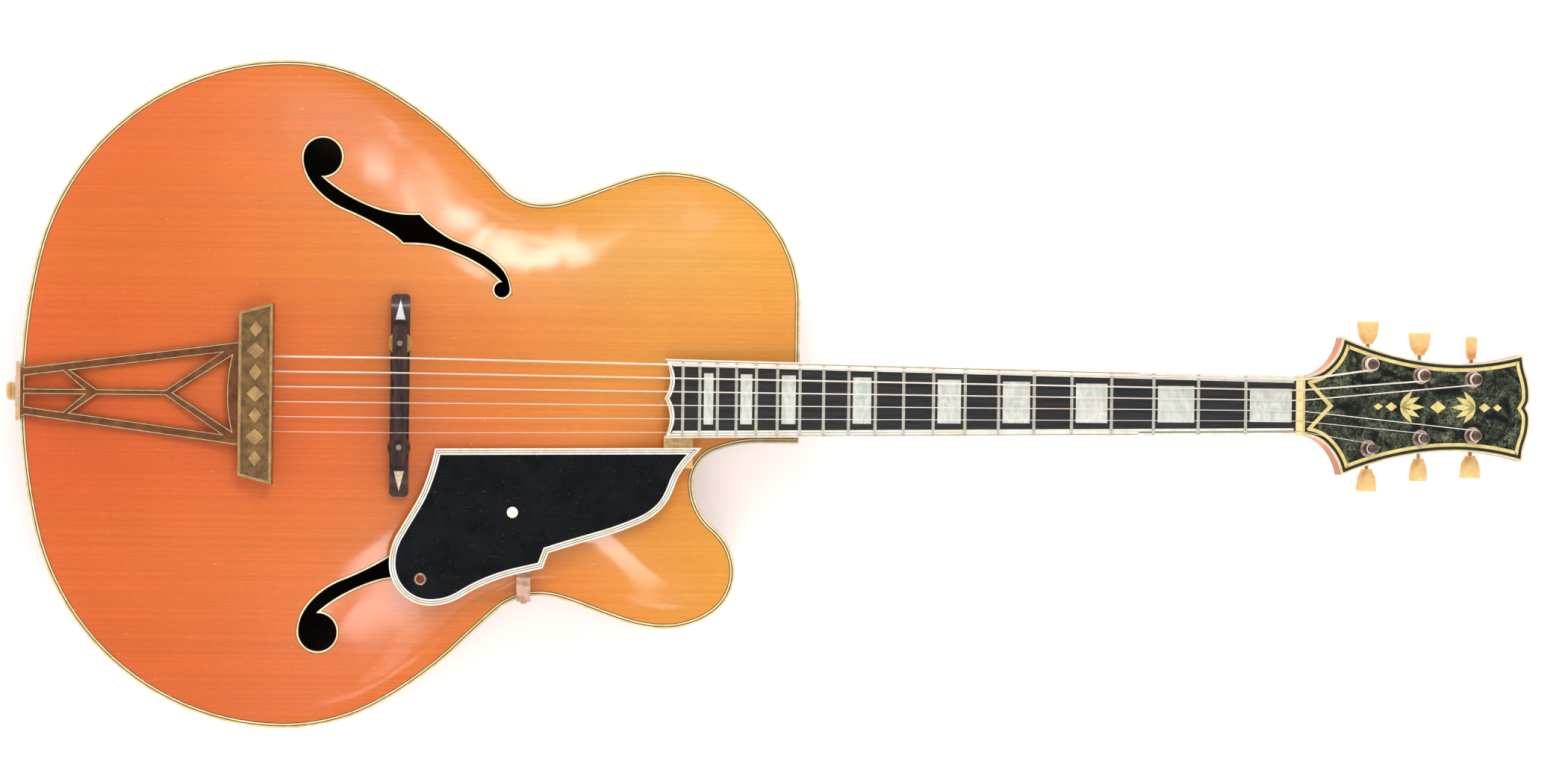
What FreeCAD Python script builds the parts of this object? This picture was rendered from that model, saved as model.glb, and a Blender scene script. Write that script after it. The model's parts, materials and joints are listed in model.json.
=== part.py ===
import FreeCAD
import Part
import math
import os

# Archtop guitar with one cutaway, lying on its back. All sizes are in millimetres.
# The neck points along +X, the bass side is +Y and the top faces +Z.

# Body plan, measured from the tail along the centreline
BODY_LENGTH = 563.0
BODY_DEPTH = 86.0
LOWER_BOUT_WIDTH = 482.6
TAIL_RADIUS = 430.0
LIP_LENGTH = 28.0
LIP_MARGIN = 3.1
FLANK_SLOPE = 44.5
UPPER_SLOPE = 21.0

# Places along the body as shares of its length
LOWER_BOUT_X = 0.341 * BODY_LENGTH
FLANK_X = 0.572 * BODY_LENGTH
WAIST_X = 0.667 * BODY_LENGTH
UPPER_SLOPE_X = 0.7336 * BODY_LENGTH
UPPER_BOUT_X = 0.8295 * BODY_LENGTH
CUTAWAY_X = 0.865 * BODY_LENGTH
HORN_TIP_X = 0.9197 * BODY_LENGTH

# Places across the body as shares of its width
TAIL_SPREAD = 0.2031 * LOWER_BOUT_WIDTH
FLANK_Y = 0.368 * LOWER_BOUT_WIDTH
BASS_WAIST = 0.2897 * LOWER_BOUT_WIDTH
TREBLE_WAIST = 0.2976 * LOWER_BOUT_WIDTH
BASS_UPPER_SLOPE = 0.3104 * LOWER_BOUT_WIDTH
TREBLE_UPPER_SLOPE = 0.317 * LOWER_BOUT_WIDTH
BASS_UPPER_BOUT = 0.3402 * LOWER_BOUT_WIDTH
TREBLE_UPPER_BOUT = 0.345 * LOWER_BOUT_WIDTH
SHOULDER_Y = 0.145 * LOWER_BOUT_WIDTH
HORN_TIP_Y = -0.2598 * LOWER_BOUT_WIDTH
CUTAWAY_Y = -0.1264 * LOWER_BOUT_WIDTH

# Arched plates, rim and what is inside
TOP_ARCH = 23.0
BACK_ARCH = 22.0
ARCH_SPREAD = 75.0
ARCH_POWER = 1.8
RECURVE_DEPTH = 0.8
RECURVE_REACH = 12.0
ARCH_GRID = 11.0
EDGE_THICKNESS = 6.0
PLATE_THICKNESS = 5.5
RIM_THICKNESS = 2.6
BINDING_WIDTH = 2.2
LINING_WIDTH = 8.0
LINING_HEIGHT = 15.0
NECK_BLOCK_LENGTH = 60.0
NECK_BLOCK_WIDTH = 70.0
TAIL_BLOCK_LENGTH = 24.0
TAIL_BLOCK_WIDTH = 76.0
TONE_BAR_WIDTH = 9.0
TONE_BAR_HEIGHT = 12.0
TONE_BAR_LENGTH = 0.568 * BODY_LENGTH
TONE_BAR_ANGLE = 20.0
SEAT_GAP = 0.1

# Sound holes, drawn on the bass side about a point beside the bridge, and mirrored
F_LINE_Y = 0.2575 * LOWER_BOUT_WIDTH
F_EYE = (-57.9, 47.2)
F_EYE_RADIUS = 13.9
F_TIP = (72.5, -47.3)
F_TIP_RADIUS = 5.6
F_BINDING = 1.3

# Neck and fingerboard; the neck frame has its origin at the body joint
SCALE_LENGTH = 647.7
JOINT_FRET = 14
FRET_COUNT = 20
NECK_ANGLE = 4.0
NUT_WIDTH = 42.9
BOARD_END_WIDTH = 57.0
BOARD_PAST_FRET = 13.0
BOARD_THICKNESS = 6.5
BOARD_RADIUS = 305.0
BOARD_SCALLOP = 4.0
BOARD_BINDING = 2.2
NECK_DEPTH_NUT = 20.0
NECK_DEPTH_HEEL = 23.0
EXTENSION_INSET = 3.0
EXTENSION_GAP = 2.0
HEEL_REACH = 74.0
HEEL_CAP_WIDTH = 30.0
HEEL_CAP_REACH = 24.0
HEEL_CAP_THICKNESS = 4.0
TENON_LENGTH = 18.0
TENON_WIDTH = 22.0
TENON_FLARE = 2.0
TENON_BOTTOM = 45.0
FIT_GAP = 0.1
FRET_WIDTH = 2.4
FRET_HEIGHT = 1.1
FRET_SETBACK = 1.0
INLAY_MARGIN_SIDE = 9.6
INLAY_MARGIN_FRET = 3.0
INLAY_DEPTH = 1.6
INLAY_FRETS = (1, 3, 5, 7, 9, 12, 15, 17, 19)
NUT_THICKNESS = 5.0
NUT_ABOVE_BOARD = 2.3
STRING_ABOVE_BOARD = 1.75

# Headstock, in its own frame that starts behind the nut
HEAD_ANGLE = 14.0
HEAD_LENGTH = 175.0
HEAD_THICKNESS = 13.5
OVERLAY_THICKNESS = 2.0
HEAD_BINDING = 1.8
EAR_X = 30.7
EAR_WIDTH = 99.4
HEAD_WAIST_X = 119.0
HEAD_WAIST_WIDTH = 63.6
CROWN_CORNER = 5.5
CROWN_WIDTH = 77.2
CROWN_NOTCH = 2.6
CROWN_LOBE = 8.5
TONGUE_X = 22.0
TONGUE_INSET = 0.3

# Tuners
FIRST_POST_X = 50.5
POST_PITCH = 40.0
POST_ROWS = (30.6, 22.8, 20.4)
POST_DIAMETER = 6.6
POST_HEIGHT = 13.0
POST_EYE = 2.0
POST_GAP = 0.1
BUSHING_DIAMETER = 9.4
BUSHING_FLANGE = 12.4
BUSHING_FLANGE_HEIGHT = 1.8
BUSHING_LENGTH = 8.0
GEAR_TEETH = 14
GEAR_DIAMETER = 7.8
GEAR_HEIGHT = 4.4
WORM_DIAMETER = 4.4
WORM_LENGTH = 9.0
WORM_SHAFT = 3.2
WORM_DEPTH = 4.6
MESH_GAP = 0.1
HOUSING_LENGTH = 20.0
HOUSING_WIDTH = 16.0
HOUSING_HEIGHT = 8.4
HOUSING_WALL = 1.0
HOUSING_EAR = 5.5
EAR_THICKNESS = 1.2
BUTTON_START = 14.6
BUTTON_LENGTH = 16.4
BUTTON_WIDTH = 16.2
BUTTON_THICKNESS = 8.4
BUTTON_ANGLES = (22.0, 38.0, 18.0, 70.0, -38.0, 6.0)

# Bridge
BRIDGE_HEIGHT = 25.1
BRIDGE_LENGTH = 146.0
BRIDGE_WIDTH = 13.6
BRIDGE_BASE_HEIGHT = 9.5
BRIDGE_CAP_LENGTH = 20.0
BRIDGE_CAP_STEP = 1.0
BRIDGE_CAP_DROP = 3.5
SADDLE_LENGTH = 101.0
SADDLE_WIDTH = 10.6
SADDLE_CROWN = 6.0
SADDLE_CROWN_HEIGHT = 3.2
BRIDGE_POST_SPACING = 75.0
BRIDGE_POST_DIAMETER = 4.0
BRIDGE_POST_ABOVE = 1.2
WHEEL_DIAMETER = 17.0
WHEEL_THICKNESS = 3.0
WHEEL_LIFT = 3.6
WHEEL_GAP = 0.05
POST_SLIDE_GAP = 0.1
WHEEL_KNURLS = 36
ACTION_AT_SADDLE = 5.4

# Tailpiece; its frame starts at the fold over the tail edge
AFTER_LENGTH = 91.0
CROSSBAR_DROP = 14.7
TAIL_LIFT = 4.0
TAIL_PLATE = 2.2
TAIL_BEVEL = 0.6
TAIL_FOLD_WIDTH = 42.8
TAIL_NECK_WIDTH = 35.6
TAIL_NECK_AT = 7.0
TAIL_END_WIDTH = 75.6
TAIL_EDGE_STRUT = 7.3
TAIL_STRUT = 5.2
TAIL_BRACE = 4.0
TAIL_FLANGE_DROP = 52.0
CROSSBAR_WIDTH = 24.8
CROSSBAR_REAR = 118.0
CROSSBAR_FRONT = 131.0
CROSSBAR_THICKNESS = 8.4
CROSSBAR_RIM = 2.2
CROSSBAR_RECESS = 0.9
STRING_HOLE = 2.6
PIN_DIAMETER = 13.6
PIN_SHAFT = 8.0
PIN_LENGTH = 9.4
PIN_DEPTH_SHARE = 0.5

# Pickguard, in the neck frame
GUARD_DROP = 4.0
GUARD_THICKNESS = 3.0
GUARD_BINDING = 4.6
GUARD_HOLE_DIAMETER = 5.0
GUARD_DOT_DIAMETER = 8.0
BRACKET_X = WAIST_X - 10.0
BRACKET_WIDTH = 10.0
BRACKET_THICKNESS = 1.6
BRACKET_REACH = 50.0
BRACKET_SLOPE = 16.0
BRACKET_DROP = 26.0
GUARD_BLOCK_LENGTH = 21.0
GUARD_BLOCK_WIDTH = 24.0
GUARD_BLOCK_GAP = 0.8
GUARD_BLOCK_HEIGHT = 7.0

# Strings, treble to bass
STRING_DIAMETERS = (0.33, 0.43, 0.66, 0.89, 1.14, 1.42)
STRING_COMPENSATION = (1.0, 2.0, 3.2, 2.0, 2.8, 3.8)
NUT_SPREAD = 37.0
BRIDGE_SPREAD = 54.0
STRING_TURNS = 3
TURN_GAP = 0.46
TURN_CLEARANCE = 0.08
WINDING_TOP = 11.4
STRING_BEND = 5.0
SLOT_GAP = 0.06
BALL_DIAMETER = 4.0
BALL_LENGTH = 4.0

SCREW_HEAD = 5.0
SCREW_SHANK = 2.4
SCREW_LENGTH = 9.0

# Levels and frames that follow from the sizes above
Z_BACK = BACK_ARCH
Z_TOP = BACK_ARCH + BODY_DEPTH
Z_RIM_LOW = Z_BACK + EDGE_THICKNESS
Z_RIM_HIGH = Z_TOP - EDGE_THICKNESS
LEDGE = RIM_THICKNESS + LINING_WIDTH
JOINT_SHARE = 2.0 ** (-JOINT_FRET / 12.0)
S_NUT = SCALE_LENGTH * (1.0 - JOINT_SHARE)
S_SADDLE = -SCALE_LENGTH * JOINT_SHARE
S_END = SCALE_LENGTH * (2.0 ** (-FRET_COUNT / 12.0) - JOINT_SHARE) - BOARD_PAST_FRET
FRET_TOP = BOARD_THICKNESS + FRET_HEIGHT
CROWN_Z = Z_TOP + TOP_ARCH + BRIDGE_HEIGHT
LIP_Y = -BOARD_END_WIDTH / 2.0 - LIP_MARGIN
PIN_Z = Z_BACK + BODY_DEPTH * PIN_DEPTH_SHARE
PIN_SEAT_X = -SEAT_GAP - TAIL_PLATE
POST_RADIUS = POST_DIAMETER / 2.0
WORM_OFFSET = (GEAR_DIAMETER + WORM_DIAMETER) / 2.0 + MESH_GAP
HEAD_BACK = -HEAD_THICKNESS

V = FreeCAD.Vector
Y_AXIS = V(0, 1, 0)


def frame(x, z, pitch):
    """Placement at (x, 0, z) whose x axis dips by pitch degrees."""
    return FreeCAD.Placement(V(x, 0, z), FreeCAD.Rotation(Y_AXIS, pitch))


NECK_Z = CROWN_Z - frame(0, 0, NECK_ANGLE).multVec(V(S_SADDLE, 0, FRET_TOP + ACTION_AT_SADDLE)).z
NECK_RISE = NECK_Z - Z_TOP
NECK_FRAME = frame(BODY_LENGTH, NECK_Z, NECK_ANGLE)
HEAD_FRAME = NECK_FRAME.multiply(frame(S_NUT + NUT_THICKNESS, 0, HEAD_ANGLE))
BRIDGE_X = NECK_FRAME.multVec(V(S_SADDLE, 0, 0)).x
TAIL_RUN = BRIDGE_X - AFTER_LENGTH - PIN_SEAT_X
TAIL_RISE = CROWN_Z - CROSSBAR_DROP - Z_TOP - TAIL_LIFT
TAIL_LENGTH = math.hypot(TAIL_RUN, TAIL_RISE) - CROSSBAR_WIDTH
TAIL_FRAME = frame(PIN_SEAT_X, Z_TOP + TAIL_LIFT, -math.degrees(math.atan2(TAIL_RISE, TAIL_RUN)))
CROWN_EDGE = HEAD_FRAME.multVec(V(HEAD_LENGTH, 0, OVERLAY_THICKNESS))
CENTRE_X = (PIN_SEAT_X - PIN_LENGTH + CROWN_EDGE.x) / 2.0


# Plane curves: a station is (point, arriving direction, leaving direction)

def direction(degrees):
    """Unit vector in the plane at an angle from +X."""
    return V(math.cos(math.radians(degrees)), math.sin(math.radians(degrees)), 0)


def station(x, y, arrive, leave=None):
    """Point of an outline with its heading, or two headings at a corner."""
    return (V(x, y, 0), direction(arrive), direction(arrive if leave is None else leave))


def corners(points):
    """Stations of a polygon with straight sides."""
    ring = [V(x, y, 0) for x, y in points]
    sides = [(ring[(i + 1) % len(ring)] - p).normalize() for i, p in enumerate(ring)]
    return [(p, sides[i - 1], sides[i]) for i, p in enumerate(ring)]


def arc_edge(start, leave, end):
    """Circular arc from start, leaving along a direction, to end; a line if end is straight ahead."""
    half = (end - start).Length / 2.0
    along = (end - start).normalize()
    bulge = leave - along * leave.dot(along)
    if bulge.Length < 1e-5:
        return Part.makeLine(start, end)
    turn = math.atan2(bulge.Length, leave.dot(along))
    middle = (start + end) * 0.5 + bulge.normalize() * (half * math.tan(turn / 2.0))
    return Part.Arc(start, middle, end).toShape()


def biarc_joint(start, leave, end, arrive):
    """Point and direction where two arcs meet that join two headings smoothly."""
    span = end - start
    both = leave + arrive
    spread = 2.0 * (1.0 - leave.dot(arrive))
    if spread > 1e-9:
        reach = math.sqrt(span.dot(both) ** 2 + spread * span.dot(span)) - span.dot(both)
        reach = reach / spread
    else:
        reach = span.dot(span) / (4.0 * span.dot(arrive))
    point = (start + end + (leave - arrive) * reach) * 0.5
    chord = point - start
    return point, chord * (2.0 * chord.dot(leave) / chord.dot(chord)) - leave


def with_joints(stations, closed=True):
    """Stations with a joint put in wherever one arc cannot join two of them."""
    nodes = []
    last = len(stations) if closed else len(stations) - 1
    for i in range(last):
        here, there = stations[i], stations[(i + 1) % len(stations)]
        nodes.append(here)
        ahead = (there[0] - here[0]).normalize()
        if (ahead - here[2]).Length > 1e-5 or (ahead - there[1]).Length > 1e-5:
            point, heading = biarc_joint(here[0], here[2], there[0], there[1])
            nodes.append((point, heading, heading))
    if not closed:
        nodes.append(stations[-1])
    return nodes


def inset_nodes(nodes, inset):
    """Nodes moved to the left of their path, inward on a counterclockwise outline."""
    moved = []
    for point, arrive, leave in nodes:
        a, b = V(-arrive.y, arrive.x, 0), V(-leave.y, leave.x, 0)
        moved.append((point + (a + b) * (inset / (1.0 + a.dot(b))), arrive, leave))
    return moved


def outline(stations, inset=0.0):
    """Closed wire of arcs and lines through the stations."""
    nodes = inset_nodes(with_joints(stations), inset)
    edges = [arc_edge(n[0], n[2], nodes[(i + 1) % len(nodes)][0]) for i, n in enumerate(nodes)]
    return Part.Wire(edges)


def prism(stations, low, high, inset=0.0):
    """Upright solid on an outline."""
    face = Part.Face(outline(stations, inset))
    face.translate(V(0, 0, low))
    return face.extrude(V(0, 0, high - low))


def mirrored_half(stations):
    """Stations of the other half of an outline that is the same on both sides of the X axis."""
    flipped = []
    for point, arrive, leave in reversed(stations):
        flipped.append((V(point.x, -point.y, 0), V(-leave.x, leave.y, 0), V(-arrive.x, arrive.y, 0)))
    return flipped


def box(x, y, z):
    """Box from three (low, high) pairs."""
    return Part.makeBox(x[1] - x[0], y[1] - y[0], z[1] - z[0], V(x[0], y[0], z[0]))


def rod(start, end, radius):
    """Cylinder from one point to another."""
    return Part.makeCylinder(radius, (end - start).Length, start, end - start)


def turned(profile, base, axis, angle=360.0):
    """Solid of revolution of a closed list of points."""
    return Part.Face(Part.makePolygon(profile + profile[:1])).revolve(base, axis, angle)


def placed(shape, placement):
    """Copy of a shape carried from a frame into the body frame."""
    moved = shape.copy()
    moved.Placement = placement.multiply(moved.Placement)
    return moved


def mirrored(shape):
    """Shape on the other side of the centreline."""
    return shape.mirror(V(0, 0, 0), Y_AXIS)


def joined(shapes):
    """One solid out of overlapping ones."""
    return shapes[0].fuse(shapes[1:]).removeSplitter()


# Body

def body_stations():
    """Outline of the body, counterclockwise from the tail."""
    half = LOWER_BOUT_WIDTH / 2.0
    flat_x = TAIL_RADIUS - math.sqrt(TAIL_RADIUS ** 2 - TAIL_SPREAD ** 2)
    lean = math.degrees(math.asin(TAIL_SPREAD / TAIL_RADIUS))
    return [
        station(0, 0, 270),
        station(flat_x, -TAIL_SPREAD, 270 + lean),
        station(LOWER_BOUT_X, -half, 0),
        station(FLANK_X, -FLANK_Y, FLANK_SLOPE),
        station(WAIST_X, -TREBLE_WAIST, 0),
        station(UPPER_SLOPE_X, -TREBLE_UPPER_SLOPE, -UPPER_SLOPE),
        station(UPPER_BOUT_X, -TREBLE_UPPER_BOUT, 0),
        station(HORN_TIP_X, HORN_TIP_Y, 90),
        station(CUTAWAY_X, CUTAWAY_Y, 90),
        station(BODY_LENGTH - LIP_LENGTH, LIP_Y, 0),
        station(BODY_LENGTH, LIP_Y, 0, 90),
        station(BODY_LENGTH, SHOULDER_Y, 90),
        station(UPPER_BOUT_X, BASS_UPPER_BOUT, 180),
        station(UPPER_SLOPE_X, BASS_UPPER_SLOPE, 180 + UPPER_SLOPE),
        station(WAIST_X, BASS_WAIST, 180),
        station(FLANK_X, FLANK_Y, 180 - FLANK_SLOPE),
        station(LOWER_BOUT_X, half, 180),
        station(flat_x, TAIL_SPREAD, 270 - lean),
    ]


def edge_distances(stations):
    """Grid of points over the body, each with a smooth measure of how far it is from the edge."""
    rim = outline(stations).discretize(Distance=3.5)
    step = outline(stations).Length / len(rim)
    columns = int(BODY_LENGTH / ARCH_GRID) + 3
    rows = int(LOWER_BOUT_WIDTH / ARCH_GRID) + 3
    grid = []
    for i in range(columns + 1):
        x = BODY_LENGTH / 2.0 + (i - columns / 2.0) * ARCH_GRID
        line = []
        for j in range(rows + 1):
            y = (j - rows / 2.0) * ARCH_GRID
            pull = sum(((x - p.x) ** 2 + (y - p.y) ** 2 + 0.01) ** -1.5 for p in rim)
            line.append((x, y, math.sqrt(2.0 / (pull * step))))
        grid.append(line)
    return grid


def arch_swell(distance):
    """Share of the full arch at a distance from the edge, for a very wide plate."""
    return 1.0 - math.exp(-(distance / ARCH_SPREAD) ** ARCH_POWER)


def arch_height(distance, arch, middle):
    """Height of an arched plate at a distance from the edge, full at the distance of its middle."""
    dip = distance / RECURVE_REACH
    swell = arch_swell(distance) / arch_swell(middle)
    return arch * swell - RECURVE_DEPTH * dip ** 2 * math.exp(2.0 - 2.0 * dip)


def below_arch(grid, arch, drop=0.0):
    """Solid that fills everything under an arched surface."""
    middle = max(d for line in grid for x, y, d in line)
    surface = Part.BSplineSurface()
    heights = [[V(x, y, arch_height(d, arch, middle) - drop) for x, y, d in line] for line in grid]
    surface.interpolate(heights)
    return surface.toShape().extrude(V(0, 0, -2.0 * (arch + EDGE_THICKNESS)))


def block_boxes(low, high):
    """Room of the two end blocks."""
    neck_end = BODY_LENGTH - RIM_THICKNESS
    half_neck, half_tail = NECK_BLOCK_WIDTH / 2.0, TAIL_BLOCK_WIDTH / 2.0
    neck = box((neck_end - NECK_BLOCK_LENGTH, BODY_LENGTH), (-half_neck, half_neck), (low, high))
    tail = box((0, RIM_THICKNESS + TAIL_BLOCK_LENGTH), (-half_tail, half_tail), (low, high))
    return [neck, tail]


def arched_plate(stations, over, under, arch):
    """Carved plate with its edge face at zero: a flat glue ledge, hollowed inside it."""
    blank = prism(stations, -EDGE_THICKNESS, arch + 1.0, BINDING_WIDTH).common(over)
    hollow = prism(stations, -EDGE_THICKNESS - 1.0, arch, LEDGE).cut(block_boxes(-arch, arch + 1.0))
    return blank.cut(hollow.common(under))


def to_back(shape):
    """Plate shape turned over to the back of the body."""
    turned_over = shape.mirror(V(0, 0, 0), V(0, 0, 1))
    turned_over.translate(V(0, 0, Z_BACK))
    return turned_over


def raised(shape, height):
    """Copy of a shape lifted along +Z."""
    lifted = shape.copy()
    lifted.translate(V(0, 0, height))
    return lifted


def ring(stations, low, high, outer, inner):
    """Upright band between two insets of an outline."""
    return prism(stations, low, high, outer).cut(prism(stations, low - 1, high + 1, inner))


def f_hole(grow, low, high):
    """Bass sound hole: an eye and a tip joined by a blade with a notch in each side."""
    (ex, ey), (tx, ty) = F_EYE, F_TIP
    blade = prism([
        station(ex - F_EYE_RADIUS, ey - 1.0, 135, 270),
        station(ex - 5.0, ey - 21.8, 311),
        station(ex + 42.3, ey - 49.5, 331),
        station(ex + 59.0, ey - 61.4, 312, 2),
        station(tx - 41.0, ty + 29.5, 340),
        station(tx - 11.4, ty + 15.1, 325),
        station(tx, ty + F_TIP_RADIUS, 315),
        station(tx + F_TIP_RADIUS, ty, 315, 92),
        station(tx - 13.8, ty + 25.7, 151),
        station(tx - 43.3, ty + 39.4, 146),
        station(ex + 70.5, ey - 41.0, 128, 184),
        station(ex + 37.5, ey - 36.6, 160),
        station(ex - 1.0, ey - F_EYE_RADIUS, 138, 135),
    ], low, high, -grow)
    eye = Part.makeCylinder(F_EYE_RADIUS + grow, high - low, V(ex, ey, low))
    tip = Part.makeCylinder(F_TIP_RADIUS + grow, high - low, V(tx, ty, low))
    hole = blade.fuse([eye, tip])
    hole.translate(V(BRIDGE_X, F_LINE_Y, 0))
    return hole


def build_body(stations, grid, parts):
    """Plates, rim, linings, blocks, tone bar and bindings."""
    over = below_arch(grid, TOP_ARCH)
    under = below_arch(grid, TOP_ARCH, PLATE_THICKNESS)
    blank = arched_plate(stations, over, under, TOP_ARCH)
    low, high = -EDGE_THICKNESS, TOP_ARCH + EDGE_THICKNESS
    wide, narrow = f_hole(F_BINDING, low, high), f_hole(0.0, low - 1, high + 1)
    lip = wide.cut(narrow)
    lips = [blank.common(lip), mirrored(mirrored(blank).common(lip))]
    parts["f_hole_bindings"] = raised(Part.makeCompound(lips), Z_TOP)
    top = blank.cut([wide, mirrored(wide)])
    tenon = neck_tenon(FIT_GAP)
    parts["top_plate"] = raised(top, Z_TOP).cut(tenon)
    outside, inside = below_arch(grid, BACK_ARCH), below_arch(grid, BACK_ARCH, PLATE_THICKNESS)
    parts["back_plate"] = to_back(arched_plate(stations, outside, inside, BACK_ARCH))
    pin = rod(V(-20, 0, PIN_Z), V(RIM_THICKNESS + TAIL_BLOCK_LENGTH + 1, 0, PIN_Z), PIN_SHAFT / 2.0)
    screws = [screw[1] for screw in screw_list()]
    holes = [tenon, pin] + screws
    parts["rim"] = ring(stations, Z_RIM_LOW, Z_RIM_HIGH, 0.0, RIM_THICKNESS).cut(holes)
    room = block_boxes(0, Z_TOP)
    linings = []
    for base in (Z_RIM_LOW, Z_RIM_HIGH - LINING_HEIGHT):
        linings.append(ring(stations, base, base + LINING_HEIGHT, RIM_THICKNESS, LEDGE).cut(room + screws))
    parts["linings"] = Part.makeCompound(linings)
    chamber = prism(stations, Z_RIM_LOW, Z_RIM_HIGH, RIM_THICKNESS)
    parts["neck_block"] = chamber.common(room[0]).cut(tenon)
    parts["tail_block"] = chamber.common(room[1]).cut(holes[1:])
    long, wide = TONE_BAR_LENGTH / 2.0, TONE_BAR_WIDTH / 2.0
    bar = box((-long, long), (-wide, wide), (-EDGE_THICKNESS, TOP_ARCH))
    bar.rotate(V(0, 0, 0), V(0, 0, 1), TONE_BAR_ANGLE)
    bar.translate(V(BRIDGE_X, 0, 0))
    bar = bar.common(raised(under, -SEAT_GAP)).cut(raised(under, -SEAT_GAP - TONE_BAR_HEIGHT))
    parts["tone_bar"] = raised(bar, Z_TOP)
    edge = ring(stations, -EDGE_THICKNESS, 0.0, 0.0, BINDING_WIDTH)
    parts["top_binding"] = raised(edge, Z_TOP).cut(tenon)
    parts["back_binding"] = to_back(edge)
    return raised(over, Z_TOP)


# Neck

def neck_tenon(gap):
    """Dovetail of the neck that goes down into the neck block."""
    near, far = TENON_WIDTH / 2.0 + gap, TENON_WIDTH / 2.0 + TENON_FLARE + gap
    x0, x1 = BODY_LENGTH - RIM_THICKNESS - TENON_LENGTH - gap, BODY_LENGTH + gap
    plan = corners([(x0, -far), (x1, -near), (x1, near), (x0, far)])
    return prism(plan, TENON_BOTTOM - gap, Z_TOP + NECK_RISE / 2.0)


def half_oval(width, depth):
    """Wire of a neck section in the YZ plane, flat side up at zero."""
    oval = Part.Ellipse(V(0, 0, 0), max(width / 2.0, depth), min(width / 2.0, depth))
    oval.Center = V(0, 0, 0)
    shape = Part.Arc(oval, math.pi, 2.0 * math.pi).toShape()
    turn = FreeCAD.Rotation(V(0, 1, 0), V(0, 0, 1), V(1, 0, 0), "XYZ")
    shape.Placement = FreeCAD.Placement(V(0, 0, 0), turn)
    ends = [v.Point for v in shape.Vertexes]
    return Part.Wire([shape, Part.makeLine(ends[-1], ends[0])])


def heel_section(width, reach, z):
    """Level section of the heel, flat against the body."""
    big, small = max(reach, width / 2.0), min(reach, width / 2.0)
    oval = Part.Ellipse(V(0, 0, 0), big, small)
    start = -math.pi / 2.0 if reach >= width / 2.0 else 0.0
    shape = Part.Arc(oval, start, start + math.pi).toShape()
    if reach < width / 2.0:
        shape.rotate(V(0, 0, 0), V(0, 0, 1), -90)
    shape.translate(V(BODY_LENGTH, 0, z))
    ends = [v.Point for v in shape.Vertexes]
    return Part.Wire([shape, Part.makeLine(ends[-1], ends[0])])


def board_width(s):
    """Width of the fingerboard at a place along the neck."""
    return NUT_WIDTH + (BOARD_END_WIDTH - NUT_WIDTH) * (S_NUT - s) / (S_NUT - S_END)


def head_stations():
    """Outline of the headstock in its frame."""
    ear, waist, crown = EAR_WIDTH / 2.0, HEAD_WAIST_WIDTH / 2.0, CROWN_WIDTH / 2.0
    rise = math.degrees(math.atan2(CROWN_NOTCH, CROWN_LOBE))
    half = [
        station(0, -NUT_WIDTH / 2.0, 270, 0),
        station(EAR_X, -ear, 280, 22),
        station(HEAD_WAIST_X, -waist, 0),
        station(HEAD_LENGTH - CROWN_CORNER, -crown, 345, 88),
        station(HEAD_LENGTH, -CROWN_LOBE, 90),
        station(HEAD_LENGTH - CROWN_NOTCH, 0, 90 + 2 * rise, 90 - 2 * rise),
    ]
    return half + mirrored_half(half[:-1])


def post_places():
    """Tuner posts in the headstock frame, for strings one to six, with the side each is on."""
    places = []
    for side in (-1, 1):
        for k, row in enumerate(POST_ROWS):
            places.append((FIRST_POST_X + k * POST_PITCH, side * row, side))
    return places[:3] + places[:2:-1]


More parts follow.
